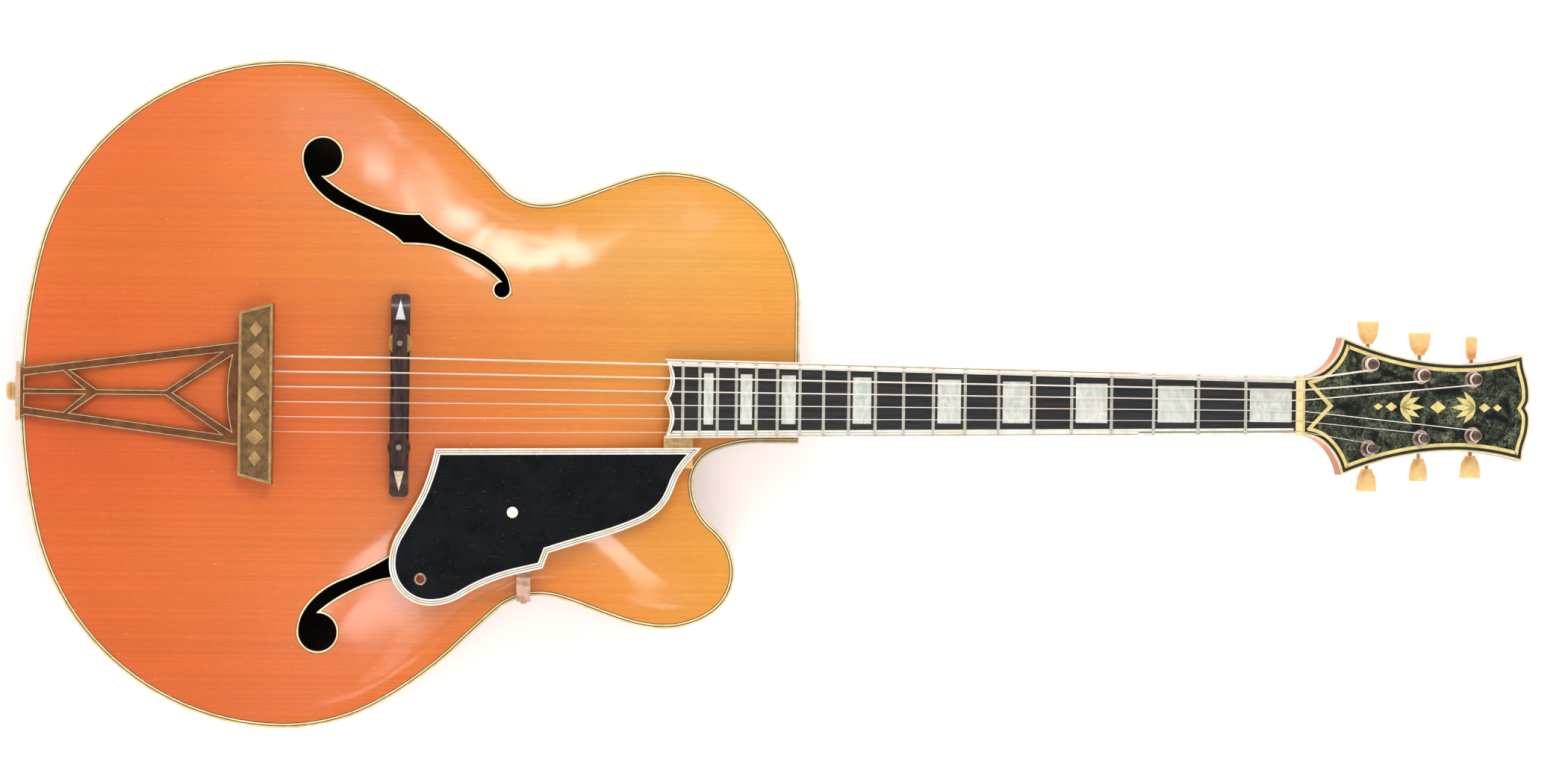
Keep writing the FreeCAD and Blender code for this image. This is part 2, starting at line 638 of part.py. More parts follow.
def build_neck(over, parts):
    """Neck with heel, tenon and headstock, and everything fixed on it."""
    width0 = board_width(0.0) - 0.4
    s_head = S_NUT + NUT_THICKNESS
    bent = frame(s_head, 0, HEAD_ANGLE)
    shaft = Part.makeLoft([
        half_oval(width0, NECK_DEPTH_HEEL),
        placed(half_oval(NUT_WIDTH, NECK_DEPTH_NUT), frame(s_head, 0, 0)),
    ], True, True)
    tongue_width = NUT_WIDTH - 2.0 * TONGUE_INSET
    tongue = Part.makeLoft([
        placed(half_oval(tongue_width, NECK_DEPTH_NUT), frame(S_NUT - 4.0, 0, 0)),
        placed(half_oval(tongue_width, NECK_DEPTH_NUT - 1.0), frame(s_head, 0, HEAD_ANGLE / 2.0)),
        placed(half_oval(tongue_width * 0.7, HEAD_THICKNESS + 1.0), bent.multiply(frame(TONGUE_X, 0, 0))),
    ], True)
    head = placed(prism(head_stations(), HEAD_BACK, 0.0), bent)
    rear, side = S_END + BOARD_SCALLOP + EXTENSION_INSET, board_width(S_END) / 2.0 - EXTENSION_INSET
    fore = width0 / 2.0 - EXTENSION_INSET
    flange = corners([(rear, -side), (5.0, -fore), (5.0, fore), (rear, side)])
    extension = placed(prism(flange, -NECK_RISE, 0.0), NECK_FRAME).cut(raised(over, EXTENSION_GAP))
    low = Z_BACK + HEEL_CAP_THICKNESS
    tall = NECK_FRAME.multVec(V(HEEL_REACH, 0, -NECK_DEPTH_HEEL * 0.75)).z - low
    heel = Part.makeLoft([
        heel_section(HEEL_CAP_WIDTH, HEEL_CAP_REACH, low),
        heel_section(HEEL_CAP_WIDTH + 3.0, HEEL_CAP_REACH + 2.0, low + tall * 0.35),
        heel_section(HEEL_CAP_WIDTH + 8.0, HEEL_CAP_REACH + 9.0, low + tall * 0.72),
        heel_section(width0 - 8.0, HEEL_REACH * 0.68, low + tall * 0.94),
        heel_section(width0 - 2.0, HEEL_REACH * 0.95, low + tall * 1.06),
    ], True)
    across = (-EAR_WIDTH, EAR_WIDTH)
    front = box((BODY_LENGTH, BODY_LENGTH + SCALE_LENGTH), across, (0, 2.0 * Z_TOP))
    half = width0 / 2.0 - 2.0
    cheek = placed(box((0.5, HEEL_REACH / 2.0), (-half, half), (-NECK_DEPTH_HEEL * 0.6, 0)), NECK_FRAME)
    shaft, tongue, head = [placed(s, NECK_FRAME) for s in (shaft, tongue, head)]
    pieces = [shaft.common(front), tongue, head, heel, cheek.common(front), extension, neck_tenon(0.0)]
    neck = joined(pieces)
    above = [placed(box((2.0 * S_END, s_head), across, (0, Z_TOP)), NECK_FRAME),
             placed(box((0, HEAD_LENGTH), across, (0, Z_TOP)), HEAD_FRAME)]
    parts["neck"] = neck.cut(above + [placed(bores(), HEAD_FRAME)] + [screw[1] for screw in screw_list()])
    cap = Part.Face(heel_section(HEEL_CAP_WIDTH, HEEL_CAP_REACH, Z_BACK))
    parts["heel_cap"] = cap.extrude(V(0, 0, HEEL_CAP_THICKNESS))
    build_board(parts)
    face = prism(head_stations(), 0.0, OVERLAY_THICKNESS)
    inner = prism(head_stations(), -1.0, OVERLAY_THICKNESS + 1.0, HEAD_BINDING)
    nut_room = placed(box((0, s_head), across, (-HEAD_THICKNESS, HEAD_THICKNESS)), NECK_FRAME)
    for name, shape in (("headstock_overlay", face.common(inner)), ("headstock_binding", face.cut(inner))):
        parts[name] = placed(shape.cut(bores()), HEAD_FRAME).cut(nut_room)


def board_face(inset):
    """Face of the fingerboard with its scalloped end, drawn in by an inset."""
    end = S_END + inset
    wide, slim = board_width(end) / 2.0 - inset, NUT_WIDTH / 2.0 - inset
    bay = end + BOARD_SCALLOP
    wave = [Part.Arc(V(end, wide, 0), V(bay, wide / 2.0, 0), V(end, 0, 0)).toShape(),
            Part.Arc(V(end, 0, 0), V(bay, -wide / 2.0, 0), V(end, -wide, 0)).toShape()]
    sides = Part.makePolygon([V(end, -wide, 0), V(S_NUT, -slim, 0), V(S_NUT, slim, 0), V(end, wide, 0)])
    return Part.Face(Part.Wire(wave + sides.Edges))


def fret_place(number):
    """Place of a fret along the neck."""
    return S_NUT - SCALE_LENGTH * (1.0 - 2.0 ** (-number / 12.0))


def build_board(parts):
    """Fingerboard with binding, inlays, frets and nut, all in the neck frame."""
    radius, axis_z = BOARD_RADIUS, BOARD_THICKNESS - BOARD_RADIUS
    rear, fore = V(S_END - 1, 0, axis_z), V(S_NUT + 2.0 * NUT_THICKNESS, 0, axis_z)
    crown = rod(rear, fore, radius)
    blank = board_face(0.0).extrude(V(0, 0, BOARD_THICKNESS)).common(crown)
    core = raised(board_face(BOARD_BINDING).extrude(V(0, 0, BOARD_THICKNESS + 2)), -1)
    board, binding = blank.common(core), blank.cut(core)
    pockets = []
    for number in INLAY_FRETS:
        a, b = fret_place(number) + INLAY_MARGIN_FRET, fret_place(number - 1) - INLAY_MARGIN_FRET
        half = board_width((a + b) / 2.0) / 2.0 - INLAY_MARGIN_SIDE
        pockets.append(box((a, b), (-half, half), (BOARD_THICKNESS - INLAY_DEPTH, BOARD_THICKNESS + 1)))
    blocks = Part.makeCompound([board.common(p) for p in pockets])
    parts["fingerboard_inlays"] = placed(blocks, NECK_FRAME)
    parts["fingerboard"] = placed(board.cut(pockets), NECK_FRAME)
    parts["fingerboard_binding"] = placed(binding, NECK_FRAME)
    frets = []
    foot = BOARD_THICKNESS + FIT_GAP / 5.0
    for number in range(1, FRET_COUNT + 1):
        s = fret_place(number)
        swing = math.degrees(math.asin((board_width(s) / 2.0 - FRET_SETBACK) / radius))
        a, b = V(s - FRET_WIDTH / 2.0, 0, foot), V(s + FRET_WIDTH / 2.0, 0, foot)
        crest = Part.Arc(a, V(s, 0, foot + FRET_HEIGHT), b).toShape()
        face = Part.Face(Part.Wire([crest, Part.makeLine(b, a)]))
        face.rotate(V(0, 0, axis_z), V(1, 0, 0), -swing)
        frets.append(face.revolve(V(0, 0, axis_z), V(1, 0, 0), 2.0 * swing))
    parts["frets"] = placed(Part.makeCompound(frets), NECK_FRAME)
    half = NUT_WIDTH / 2.0
    crest = rod(rear, fore, radius + NUT_ABOVE_BOARD)
    nut = box((S_NUT, S_NUT + NUT_THICKNESS), (-half, half), (0, FRET_TOP + NUT_ABOVE_BOARD)).common(crest)
    slots = [tool for k in range(6) for tool in string_slot(k, 2, NUT_THICKNESS)]
    parts["nut"] = placed(nut, NECK_FRAME).cut(slots)


# Tuners, in the headstock frame

def bores():
    """Holes for the bushings and posts through the headstock."""
    tools = []
    for x, y, side in post_places():
        top = V(x, y, OVERLAY_THICKNESS + 1)
        tools.append(rod(top, V(x, y, OVERLAY_THICKNESS - BUSHING_LENGTH), BUSHING_DIAMETER / 2.0))
        tools.append(rod(top, V(x, y, HEAD_BACK - 1), POST_RADIUS + 0.4))
    return Part.makeCompound(tools)


def tuner_post():
    """Post with its gear, standing on the origin at the back of the headstock."""
    top = HEAD_THICKNESS + OVERLAY_THICKNESS + POST_HEIGHT
    r, low = POST_RADIUS, -WORM_DEPTH - GEAR_HEIGHT / 2.0
    gear = GEAR_DIAMETER / 2.0
    profile = [(0, low), (gear, low), (gear, low + GEAR_HEIGHT), (r, low + GEAR_HEIGHT), (r, top - 0.6),
               (r - 0.6, top), (r * 0.45, top), (r * 0.4, top - 0.4), (0, top - 0.4)]
    post = turned([V(a, 0, b) for a, b in profile], V(0, 0, 0), V(0, 0, 1))
    eye_z = top - POST_HEIGHT * 0.3
    cutters = [rod(V(-r - 1, 0, eye_z), V(r + 1, 0, eye_z), POST_EYE / 2.0)]
    for k in range(GEAR_TEETH):
        slot = rod(V(gear + 0.15, 0, low - 1), V(gear + 0.15, 0, low + GEAR_HEIGHT + 0.01), 0.45)
        slot.rotate(V(0, 0, 0), V(0, 0, 1), 360.0 * k / GEAR_TEETH)
        cutters.append(slot)
    return post.cut(Part.makeCompound(cutters))


def tuner_worm(side):
    """Worm shaft, lying beside the gear and reaching into the button."""
    r, shaft = WORM_DIAMETER / 2.0, WORM_SHAFT / 2.0
    half, tail = WORM_LENGTH / 2.0, HOUSING_WIDTH / 2.0 - HOUSING_WALL - 0.3
    tip = BUTTON_START + BUTTON_LENGTH * 0.6
    profile = [(0, -tail), (shaft, -tail), (shaft, -half), (r, -half), (r, half), (shaft, half), (shaft, tip),
               (0, tip)]
    points = [V(WORM_OFFSET + a, side * b, -WORM_DEPTH) for a, b in profile]
    return turned(points, V(WORM_OFFSET, 0, -WORM_DEPTH), Y_AXIS)


def rounded_corners(x, y, r):
    """Stations of a rectangle about the origin, from half its sides and a corner radius."""
    quarter = [station(x - r, -y, 0), station(x, -y + r, 90), station(x, y - r, 90), station(x - r, y, 180)]
    return quarter + [(p * -1.0, a * -1.0, b * -1.0) for p, a, b in quarter]


def button_section(width, thick, y):
    """Rounded section of a button across its shaft."""
    r = min(width, thick) * 0.36
    w, t = width / 2.0, thick / 2.0
    wire = outline(rounded_corners(w, t, r))
    wire.rotate(V(0, 0, 0), V(1, 0, 0), -90)
    wire.translate(V(0, y, 0))
    return wire


def tuner_button(side, angle):
    """Keystone button on the worm shaft, turned by an angle."""
    n = BUTTON_LENGTH
    shares = [(0.46, 0.86, 0.0), (0.5, 0.86, 0.1), (0.82, 0.95, 0.34), (0.92, 1.0, 0.6), (1.0, 1.0, 0.92),
              (0.95, 0.8, 1.0)]
    sections = [button_section(a * BUTTON_WIDTH, b * BUTTON_THICKNESS, c * n) for a, b, c in shares]
    shape = Part.makeLoft(sections, True)
    bore = rod(V(0, -1, 0), V(0, n * 0.6, 0), WORM_SHAFT / 2.0)
    shape = shape.cut(bore)
    shape.rotate(V(0, 0, 0), Y_AXIS, angle)
    shape.translate(V(0, BUTTON_START, 0))
    if side < 0:
        shape = mirrored(shape)
    shape.translate(V(WORM_OFFSET, 0, -WORM_DEPTH))
    return shape


def tuner_housing(side):
    """Stamped cover over worm and gear, with two ears."""
    mid = WORM_OFFSET / 2.0
    half_l, half_w, wall = HOUSING_LENGTH / 2.0, HOUSING_WIDTH / 2.0, HOUSING_WALL
    shell = box((mid - half_l, mid + half_l), (-half_w, half_w), (-HOUSING_HEIGHT, 0))
    rims = [e for e in shell.Edges if e.CenterOfMass.z < -0.1]
    shell = shell.makeFillet(min(2.2, HOUSING_HEIGHT / 3.0), rims)
    room = box((mid - half_l + wall, mid + half_l - wall), (-half_w + wall, half_w - wall),
               (-HOUSING_HEIGHT + wall, 1))
    reach, ear = half_l + HOUSING_EAR, HOUSING_EAR / 2.0
    ears = prism(rounded_corners(reach, ear, ear * 0.98), -EAR_THICKNESS, 0.0)
    ears.translate(V(mid, 0, 0))
    axis = V(WORM_OFFSET, 0, -WORM_DEPTH)
    shaft = rod(axis, axis + Y_AXIS * (side * HOUSING_WIDTH), WORM_SHAFT / 2.0 + WHEEL_GAP)
    holes = []
    for x in (mid - reach + ear, mid + reach - ear):
        holes.append(rod(V(x, 0, 1), V(x, 0, -2.0 * EAR_THICKNESS), SCREW_SHANK / 2.0))
    return joined([shell, ears]).cut([room, shaft] + holes)


def bushing():
    """Flanged bushing pressed into the face of the headstock."""
    r, out, big = POST_RADIUS + POST_GAP, BUSHING_DIAMETER / 2.0, BUSHING_FLANGE / 2.0
    face, rim = OVERLAY_THICKNESS, OVERLAY_THICKNESS + BUSHING_FLANGE_HEIGHT
    low = OVERLAY_THICKNESS - BUSHING_LENGTH
    profile = [(r, low), (out, low), (out, face), (big, face), (big, face + 0.7), (big - 1.4, rim), (r, rim)]
    return turned([V(a, 0, b) for a, b in profile], V(0, 0, 0), V(0, 0, 1))


def build_tuners(parts):
    """Six tuners."""
    housings, bushings = [], []
    for k, (x, y, side) in enumerate(post_places()):
        foot = HEAD_FRAME.multiply(FreeCAD.Placement(V(x, y, HEAD_BACK), FreeCAD.Rotation()))
        face = HEAD_FRAME.multiply(FreeCAD.Placement(V(x, y, 0), FreeCAD.Rotation()))
        name = str(k + 1)
        parts["tuner_post_" + name] = placed(tuner_post(), foot)
        parts["tuner_worm_" + name] = placed(tuner_worm(side), foot)
        parts["tuner_button_" + name] = placed(tuner_button(side, BUTTON_ANGLES[k]), foot)
        housings.append(placed(tuner_housing(side), foot))
        bushings.append(placed(bushing(), face))
    parts["tuner_housings"] = Part.makeCompound(housings)
    parts["tuner_bushings"] = Part.makeCompound(bushings)


def screw_list():
    """Head and shank of every wood screw."""
    screws = []

    def add(seat, inward):
        dome = Part.makeSphere(SCREW_HEAD / 2.0, seat, -inward)
        half = rod(seat, seat - inward * SCREW_HEAD, SCREW_HEAD)
        flat = rod(seat - inward * (SCREW_HEAD * 0.36), seat - inward * SCREW_HEAD, SCREW_HEAD)
        slot = box((-SCREW_HEAD, SCREW_HEAD), (-0.4, 0.4), (SCREW_HEAD * 0.22, SCREW_HEAD))
        slot.Placement = FreeCAD.Placement(seat, FreeCAD.Rotation(V(0, 0, 1), -inward))
        head = dome.common(half).cut([flat, slot])
        shank = rod(seat, seat + inward * SCREW_LENGTH, SCREW_SHANK / 2.0)
        screws.append((head.fuse(shank), shank))

    reach = HOUSING_LENGTH / 2.0 + HOUSING_EAR / 2.0
    up = HEAD_FRAME.Rotation.multVec(V(0, 0, 1))
    for x, y, side in post_places():
        for k in (-1, 1):
            add(HEAD_FRAME.multVec(V(x + WORM_OFFSET / 2.0 + k * reach, y, HEAD_BACK - EAR_THICKNESS)), up)
    for y, z in tail_screws():
        add(V(PIN_SEAT_X, y, z), V(1, 0, 0))
    add(V(BRACKET_X, bracket_wall() - BRACKET_THICKNESS, bracket_foot() + 6.0), Y_AXIS)
    return screws


# Bridge

def top_height(over, x, y):
    """Level of the top plate's face at a place."""
    probe = over.common(Part.makeLine(V(x, y, 0), V(x, y, 400)))
    return probe.BoundBox.ZMax


def string_side(k, spread):
    """Offset of a string from the centreline, string one on the treble side."""
    return spread * (k / 5.0 - 0.5)


def arch_drop(y):
    """How far the fingerboard's curve lies below its crest at an offset."""
    return BOARD_RADIUS - math.sqrt(BOARD_RADIUS ** 2 - y ** 2)


def saddle_point(k):
    """Centre of a string where it crosses the saddle."""
    y = string_side(k, BRIDGE_SPREAD)
    z = FRET_TOP + ACTION_AT_SADDLE - arch_drop(y)
    return NECK_FRAME.multVec(V(S_SADDLE - STRING_COMPENSATION[k], y, z))


def bridge_levels(over):
    """Levels of the base top, the wheel's underside and the wheel's top."""
    base = top_height(over, BRIDGE_X, 0.0) + SEAT_GAP + BRIDGE_BASE_HEIGHT
    return base, base + WHEEL_LIFT, base + WHEEL_LIFT + WHEEL_THICKNESS


def rounded_plan(length, width, radius):
    """Stations of a rounded rectangle lying across the centreline at the bridge."""
    shift = V(BRIDGE_X, 0, 0)
    return [(p + shift, a, b) for p, a, b in rounded_corners(width / 2.0, length / 2.0, radius)]


def build_bridge(over, parts):
    """Base, posts, wheels and saddle."""
    base_z, wheel_z, saddle_z = bridge_levels(over)
    end, cap = BRIDGE_LENGTH / 2.0, BRIDGE_LENGTH / 2.0 - BRIDGE_CAP_LENGTH
    tip_z = base_z - BRIDGE_CAP_DROP
    low = Z_TOP
    step_z, swell_z = base_z + BRIDGE_CAP_STEP, base_z + BRIDGE_CAP_STEP * 0.4
    foot = Part.makePolygon([V(0, -end, tip_z), V(0, -end, low), V(0, end, low), V(0, end, tip_z)])
    deck = Part.makePolygon([V(0, cap, step_z), V(0, cap, base_z), V(0, -cap, base_z), V(0, -cap, step_z)])
    swells = []
    for k in (1, -1):
        middle = V(0, k * (end + cap) / 2.0, swell_z)
        swells.append(Part.Arc(V(0, k * end, tip_z), middle, V(0, k * cap, step_z)).toShape())
    side = Part.Wire(Part.__sortEdges__(foot.Edges + deck.Edges + swells))
    base = Part.Face(side).extrude(V(2.0 * BRIDGE_WIDTH, 0, 0))
    base.translate(V(BRIDGE_X - BRIDGE_WIDTH, 0, 0))
    base = base.common(prism(rounded_plan(BRIDGE_LENGTH, BRIDGE_WIDTH, 3.0), low, 2.0 * base_z))
    base = base.cut(raised(over, SEAT_GAP))
    half = BRIDGE_POST_SPACING / 2.0
    posts, post_r = [], BRIDGE_POST_DIAMETER / 2.0
    post_top = max(saddle_point(2).z, saddle_point(3).z) - SADDLE_CROWN_HEIGHT + BRIDGE_POST_ABOVE
    for k in (-1, 1):
        posts.append(rod(V(BRIDGE_X, k * half, base_z - 6.0), V(BRIDGE_X, k * half, post_top), post_r))
    inlays = []
    for k in (-1, 1):
        foot, apex = k * (cap + 1.6), k * (end - 4.0)
        plan = [(BRIDGE_X - 3.6, foot), (BRIDGE_X + 3.6, foot), (BRIDGE_X, apex)]
        wedge = prism(corners(plan if k > 0 else plan[::-1]), tip_z - 2.0, base_z + 5.0)
        skin = base.cut(raised(base, -1.2))
        inlays.append(skin.common(wedge))
    parts["bridge_inlays"] = Part.makeCompound(inlays)
    parts["bridge_base"] = base.cut(posts + inlays)
    parts["bridge_posts"] = Part.makeCompound(posts)
    wheel_r = WHEEL_DIAMETER / 2.0
    for name, k in (("treble_thumbwheel", -1), ("bass_thumbwheel", 1)):
        spot = V(BRIDGE_X, k * half, wheel_z)
        wheel = Part.makeCylinder(wheel_r, WHEEL_THICKNESS, spot)
        wheel = wheel.makeChamfer(0.4, [e for e in wheel.Edges if len(e.Vertexes) == 1])
        notches = []
        for n in range(WHEEL_KNURLS):
            turn = direction(360.0 * n / WHEEL_KNURLS) * (wheel_r + 0.25)
            notches.append(rod(spot + turn - V(0, 0, 1), spot + turn + V(0, 0, WHEEL_THICKNESS + 1), 0.55))
        bore = rod(spot - V(0, 0, 1), spot + V(0, 0, WHEEL_THICKNESS + 1), post_r + WHEEL_GAP)
        parts[name] = wheel.cut(notches + [bore])
    parts["bridge_saddle"] = build_saddle(saddle_z, posts)


def build_saddle(saddle_z, posts):
    """Saddle with a stepped crown, slotted for the strings and bored for the posts."""
    deck = min(saddle_point(k).z for k in range(6)) - SADDLE_CROWN_HEIGHT
    body = prism(rounded_plan(SADDLE_LENGTH, SADDLE_WIDTH, 3.0), saddle_z, deck)
    pieces = [body]
    pitch, half = BRIDGE_SPREAD / 5.0, SADDLE_CROWN / 2.0
    slack = SADDLE_WIDTH / 2.0 - half
    tools = []
    for k in range(6):
        spot = saddle_point(k)
        x = min(max(spot.x, BRIDGE_X - slack), BRIDGE_X + slack)
        sides = (spot.y - pitch / 2.0, spot.y + pitch / 2.0)
        pieces.append(box((x - half, x + half), sides, (deck - 1.0, spot.z)))
        tools += string_slot(k, 1, SADDLE_WIDTH)
    saddle = joined(pieces)
    for post in posts:
        hole = post.BoundBox
        centre = V((hole.XMin + hole.XMax) / 2.0, (hole.YMin + hole.YMax) / 2.0, 0)
        tools.append(rod(centre, centre + V(0, 0, 300), BRIDGE_POST_DIAMETER / 2.0 + POST_SLIDE_GAP))
    return saddle.cut(tools)


# Tailpiece

def tail_screws():
    """Places (y, z) of the screws in the tail flange."""
    top = Z_TOP + TAIL_LIFT
    return [(-TAIL_NECK_WIDTH / 4.0, top - 18.0), (TAIL_NECK_WIDTH / 4.0, top - 18.0)]


def tail_anchor(k):
    """Start of a string inside the crossbar."""
    s = TAIL_LENGTH + CROSSBAR_WIDTH * 0.45
    return TAIL_FRAME.multVec(V(s, string_side(k, BRIDGE_SPREAD), TAIL_PLATE / 2.0))


def build_tailpiece(parts):
    """Pierced frame bent over the tail, crossbar and end pin."""
    fold, slim, wide = TAIL_FOLD_WIDTH / 2.0, TAIL_NECK_WIDTH / 2.0, TAIL_END_WIDTH / 2.0
    n, strut = TAIL_LENGTH, TAIL_STRUT / 2.0
    plan = [(0, -fold), (TAIL_NECK_AT, -slim), (n, -wide), (n, wide), (TAIL_NECK_AT, slim), (0, fold)]

    def side(x):
        return slim + (wide - slim) * (x - TAIL_NECK_AT) / (n - TAIL_NECK_AT) - TAIL_EDGE_STRUT

    windows = []
    for k in (-1, 1):
        near = [(TAIL_NECK_AT, strut), (n * 0.295, strut), (n * 0.212, side(n * 0.212)),
                (TAIL_NECK_AT, side(TAIL_NECK_AT))]
        far = [(n * 0.364, strut), (n * 0.671, strut), (n * 0.907, side(n * 0.907)),
               (n * 0.255, side(n * 0.255))]
        for ring_points in (near, far):
            points = [(x, k * y) for x, y in ring_points]
            windows.append(prism(corners(points if k > 0 else points[::-1]), -1, TAIL_PLATE + 1))
    apex, mouth, high = n * 0.713, n * 0.961, side(n * 0.961) - TAIL_BRACE
    bow = Part.Wire([Part.makeLine(V(apex, 0, -1), V(mouth, -high, -1)),
                     Part.Arc(V(mouth, -high, -1), V(mouth - 3.0, 0, -1), V(mouth, high, -1)).toShape(),
                     Part.makeLine(V(mouth, high, -1), V(apex, 0, -1))])
    windows.append(Part.Face(bow).extrude(V(0, 0, TAIL_PLATE + 2)))
    plate = prism(corners(plan), 0, TAIL_PLATE).cut(windows)
    upper = [e for e in plate.Edges if e.BoundBox.ZMin > TAIL_PLATE / 2.0]
    rims = [e for e in upper if e.BoundBox.XMax > 0.1 and e.BoundBox.XMin < n - 0.1]
    plate = placed(plate.makeChamfer(TAIL_BEVEL, rims), TAIL_FRAME)
    top = Z_TOP + TAIL_LIFT + TAIL_PLATE
    low = Z_TOP + TAIL_LIFT - TAIL_FLANGE_DROP
    flange_plan = [(0, fold), (0, -fold), (top - low, -slim * 0.8), (top - low, slim * 0.8)]
    flange = prism(corners(flange_plan[::-1]), 0, TAIL_PLATE)
    turn = FreeCAD.Rotation(V(0, 0, -1), V(0, 1, 0), V(1, 0, 0), "XYZ")
    flange.Placement = FreeCAD.Placement(V(PIN_SEAT_X, 0, top), turn)
    pin = rod(V(-30, 0, PIN_Z), V(10, 0, PIN_Z), PIN_SHAFT / 2.0)
    shanks = [rod(V(-30, y, z), V(10, y, z), SCREW_SHANK / 2.0) for y, z in tail_screws()]
    parts["tailpiece_frame"] = joined([plate, flange]).cut([pin] + shanks)
    low, high = TAIL_PLATE / 2.0 - CROSSBAR_THICKNESS / 2.0, TAIL_PLATE / 2.0 + CROSSBAR_THICKNESS / 2.0
    rear, front, end = CROSSBAR_REAR / 2.0, CROSSBAR_FRONT / 2.0, n + CROSSBAR_WIDTH
    bar_plan = corners([(n, -rear), (end, -front), (end, front), (n, rear)])
    bar = prism(bar_plan, low, high)
    bar = bar.cut(prism(bar_plan, high - CROSSBAR_RECESS, high + 1, CROSSBAR_RIM))
    side, ceiling = BRIDGE_SPREAD / 2.0 + BALL_DIAMETER, TAIL_PLATE / 2.0 + BALL_DIAMETER / 2.0 + 0.4
    room = box((n + CROSSBAR_WIDTH * 0.2, n + CROSSBAR_WIDTH * 0.62), (-side, side), (low - 1, ceiling))
    holes = []
    for k in range(6):
        y, z = string_side(k, BRIDGE_SPREAD), TAIL_PLATE / 2.0
        holes.append(rod(V(n + CROSSBAR_WIDTH * 0.5, y, z), V(end + 1, y, z), STRING_HOLE / 2.0))
    parts["tailpiece_crossbar"] = placed(bar.cut([room] + holes), TAIL_FRAME)
    r, s, x = PIN_DIAMETER / 2.0, PIN_SHAFT / 2.0, PIN_SEAT_X
    inner = RIM_THICKNESS + TAIL_BLOCK_LENGTH * 0.9
    tip = x - PIN_LENGTH
    profile = [(tip, 0), (tip, r * 0.62), (tip + 0.5, r * 0.84), (tip + 1.4, r * 0.96), (tip + 3.2, r),
               (tip + 3.9, r * 0.86), (tip + 4.6, r), (x, r), (x, s), (inner, s), (inner, 0)]
    parts["end_pin"] = turned([V(a, 0, PIN_Z + b) for a, b in profile], V(0, 0, PIN_Z), V(1, 0, 0))


# Pickguard

def guard_place(along, across):
    """Place on the pickguard from shares of the saddle's distance and of the waist."""
    return along * S_SADDLE, -across * TREBLE_WAIST


def guard_stations():
    """Outline of the pickguard in the neck frame, counterclockwise."""
    edge = [
        (0.9622, 0.5612, 239),
        (1.0211, 0.8425, 270),
        (0.9175, 1.0528, 0),
        (0.7625, 0.9288, 21.5),
        (0.637, 0.8599, 12.5, 69.5),
        (0.6225, 0.7819, 69.5, 18.6),
        (0.3927, 0.6267, 24),
        (0.3216, 0.4985, 63),
        (0.2953, 0.3774, 60),
    ]
    board = -BOARD_END_WIDTH / 2.0
    first = station(0.9088 * S_SADDLE, board - 9.5, 180.8, 258)
    last = station(0.2419 * S_SADDLE, board - 6.9, 47, 180.8)
    return [first] + [station(*guard_place(*p[:2]), *p[2:]) for p in edge] + [last]


def guard_frame():
    """Neck frame lowered to the face of the pickguard."""
    return NECK_FRAME.multiply(frame(0, -GUARD_DROP, 0))


def bracket_wall():
    """Y just outside the rim over the bracket's width."""
    floor = Part.Face(outline(body_stations()))
    half = BRACKET_WIDTH / 2.0
    strip = box((BRACKET_X - half, BRACKET_X + half), (-LOWER_BOUT_WIDTH, 0), (-1, 1))
    return floor.common(strip).optimalBoundingBox().YMin - SEAT_GAP


def bracket_foot():
    """Level of the bracket's lower end."""
    return Z_TOP - BRACKET_DROP


def build_guard(parts):
    """Pickguard with binding, its bracket and its block."""
    tilt = guard_frame()
    plate = prism(guard_stations(), -GUARD_THICKNESS, 0.0, GUARD_BINDING)
    x, y = guard_place(0.9427, 0.9205)
    sink = 0.7 * GUARD_THICKNESS
    plate = plate.cut(rod(V(x, y, -2.0 * GUARD_THICKNESS), V(x, y, 1), GUARD_HOLE_DIAMETER / 2.0))
    small, wide = GUARD_HOLE_DIAMETER / 2.0, GUARD_HOLE_DIAMETER * 0.9
    plate = plate.cut(Part.makeCone(small, wide, sink, V(x, y, -sink)))
    x, y = guard_place(0.714, 0.5807)
    plate = plate.cut(rod(V(x, y, -1.0), V(x, y, 1), GUARD_DOT_DIAMETER / 2.0))
    parts["pickguard"] = placed(plate, tilt)
    band = ring(guard_stations(), -GUARD_THICKNESS, 0.0, 0.0, GUARD_BINDING)
    dot = rod(V(x, y, -1.0), V(x, y, 0.2), GUARD_DOT_DIAMETER / 2.0)
    parts["pickguard_binding"] = placed(Part.makeCompound([band, dot]), tilt)
    under = tilt.multVec(V(BRACKET_X + BRACKET_WIDTH / 2.0 - BODY_LENGTH, 0, -GUARD_THICKNESS)).z - SEAT_GAP
    wall, t = bracket_wall(), BRACKET_THICKNESS
    start, slope, foot, knee = wall + BRACKET_REACH, wall + BRACKET_SLOPE, bracket_foot(), Z_TOP + 4.0
    profile = [(start, under), (start, under - t), (slope, under - t), (wall, knee - t), (wall, foot),
               (wall - t, foot), (wall - t, knee), (slope, under)]
    strip = Part.Face(Part.makePolygon([V(0, a, b) for a, b in profile + profile[:1]]))
    strip = strip.extrude(V(BRACKET_WIDTH, 0, 0))
    strip.translate(V(BRACKET_X - BRACKET_WIDTH / 2.0, 0, 0))
    seat = V(BRACKET_X, wall, foot + 6.0)
    hole = rod(seat - Y_AXIS * BRACKET_WIDTH, seat + Y_AXIS, SCREW_SHANK / 2.0)
    parts["pickguard_bracket"] = strip.cut(hole)
    near, low = S_END + 0.5, -GUARD_THICKNESS - GUARD_BLOCK_HEIGHT
    side = EXTENSION_INSET - board_width(near) / 2.0 - GUARD_BLOCK_GAP
    lump = box((near, near + GUARD_BLOCK_LENGTH), (side - GUARD_BLOCK_WIDTH, side), (low, -GUARD_THICKNESS))
    parts["pickguard_block"] = placed(lump, tilt)


# Strings

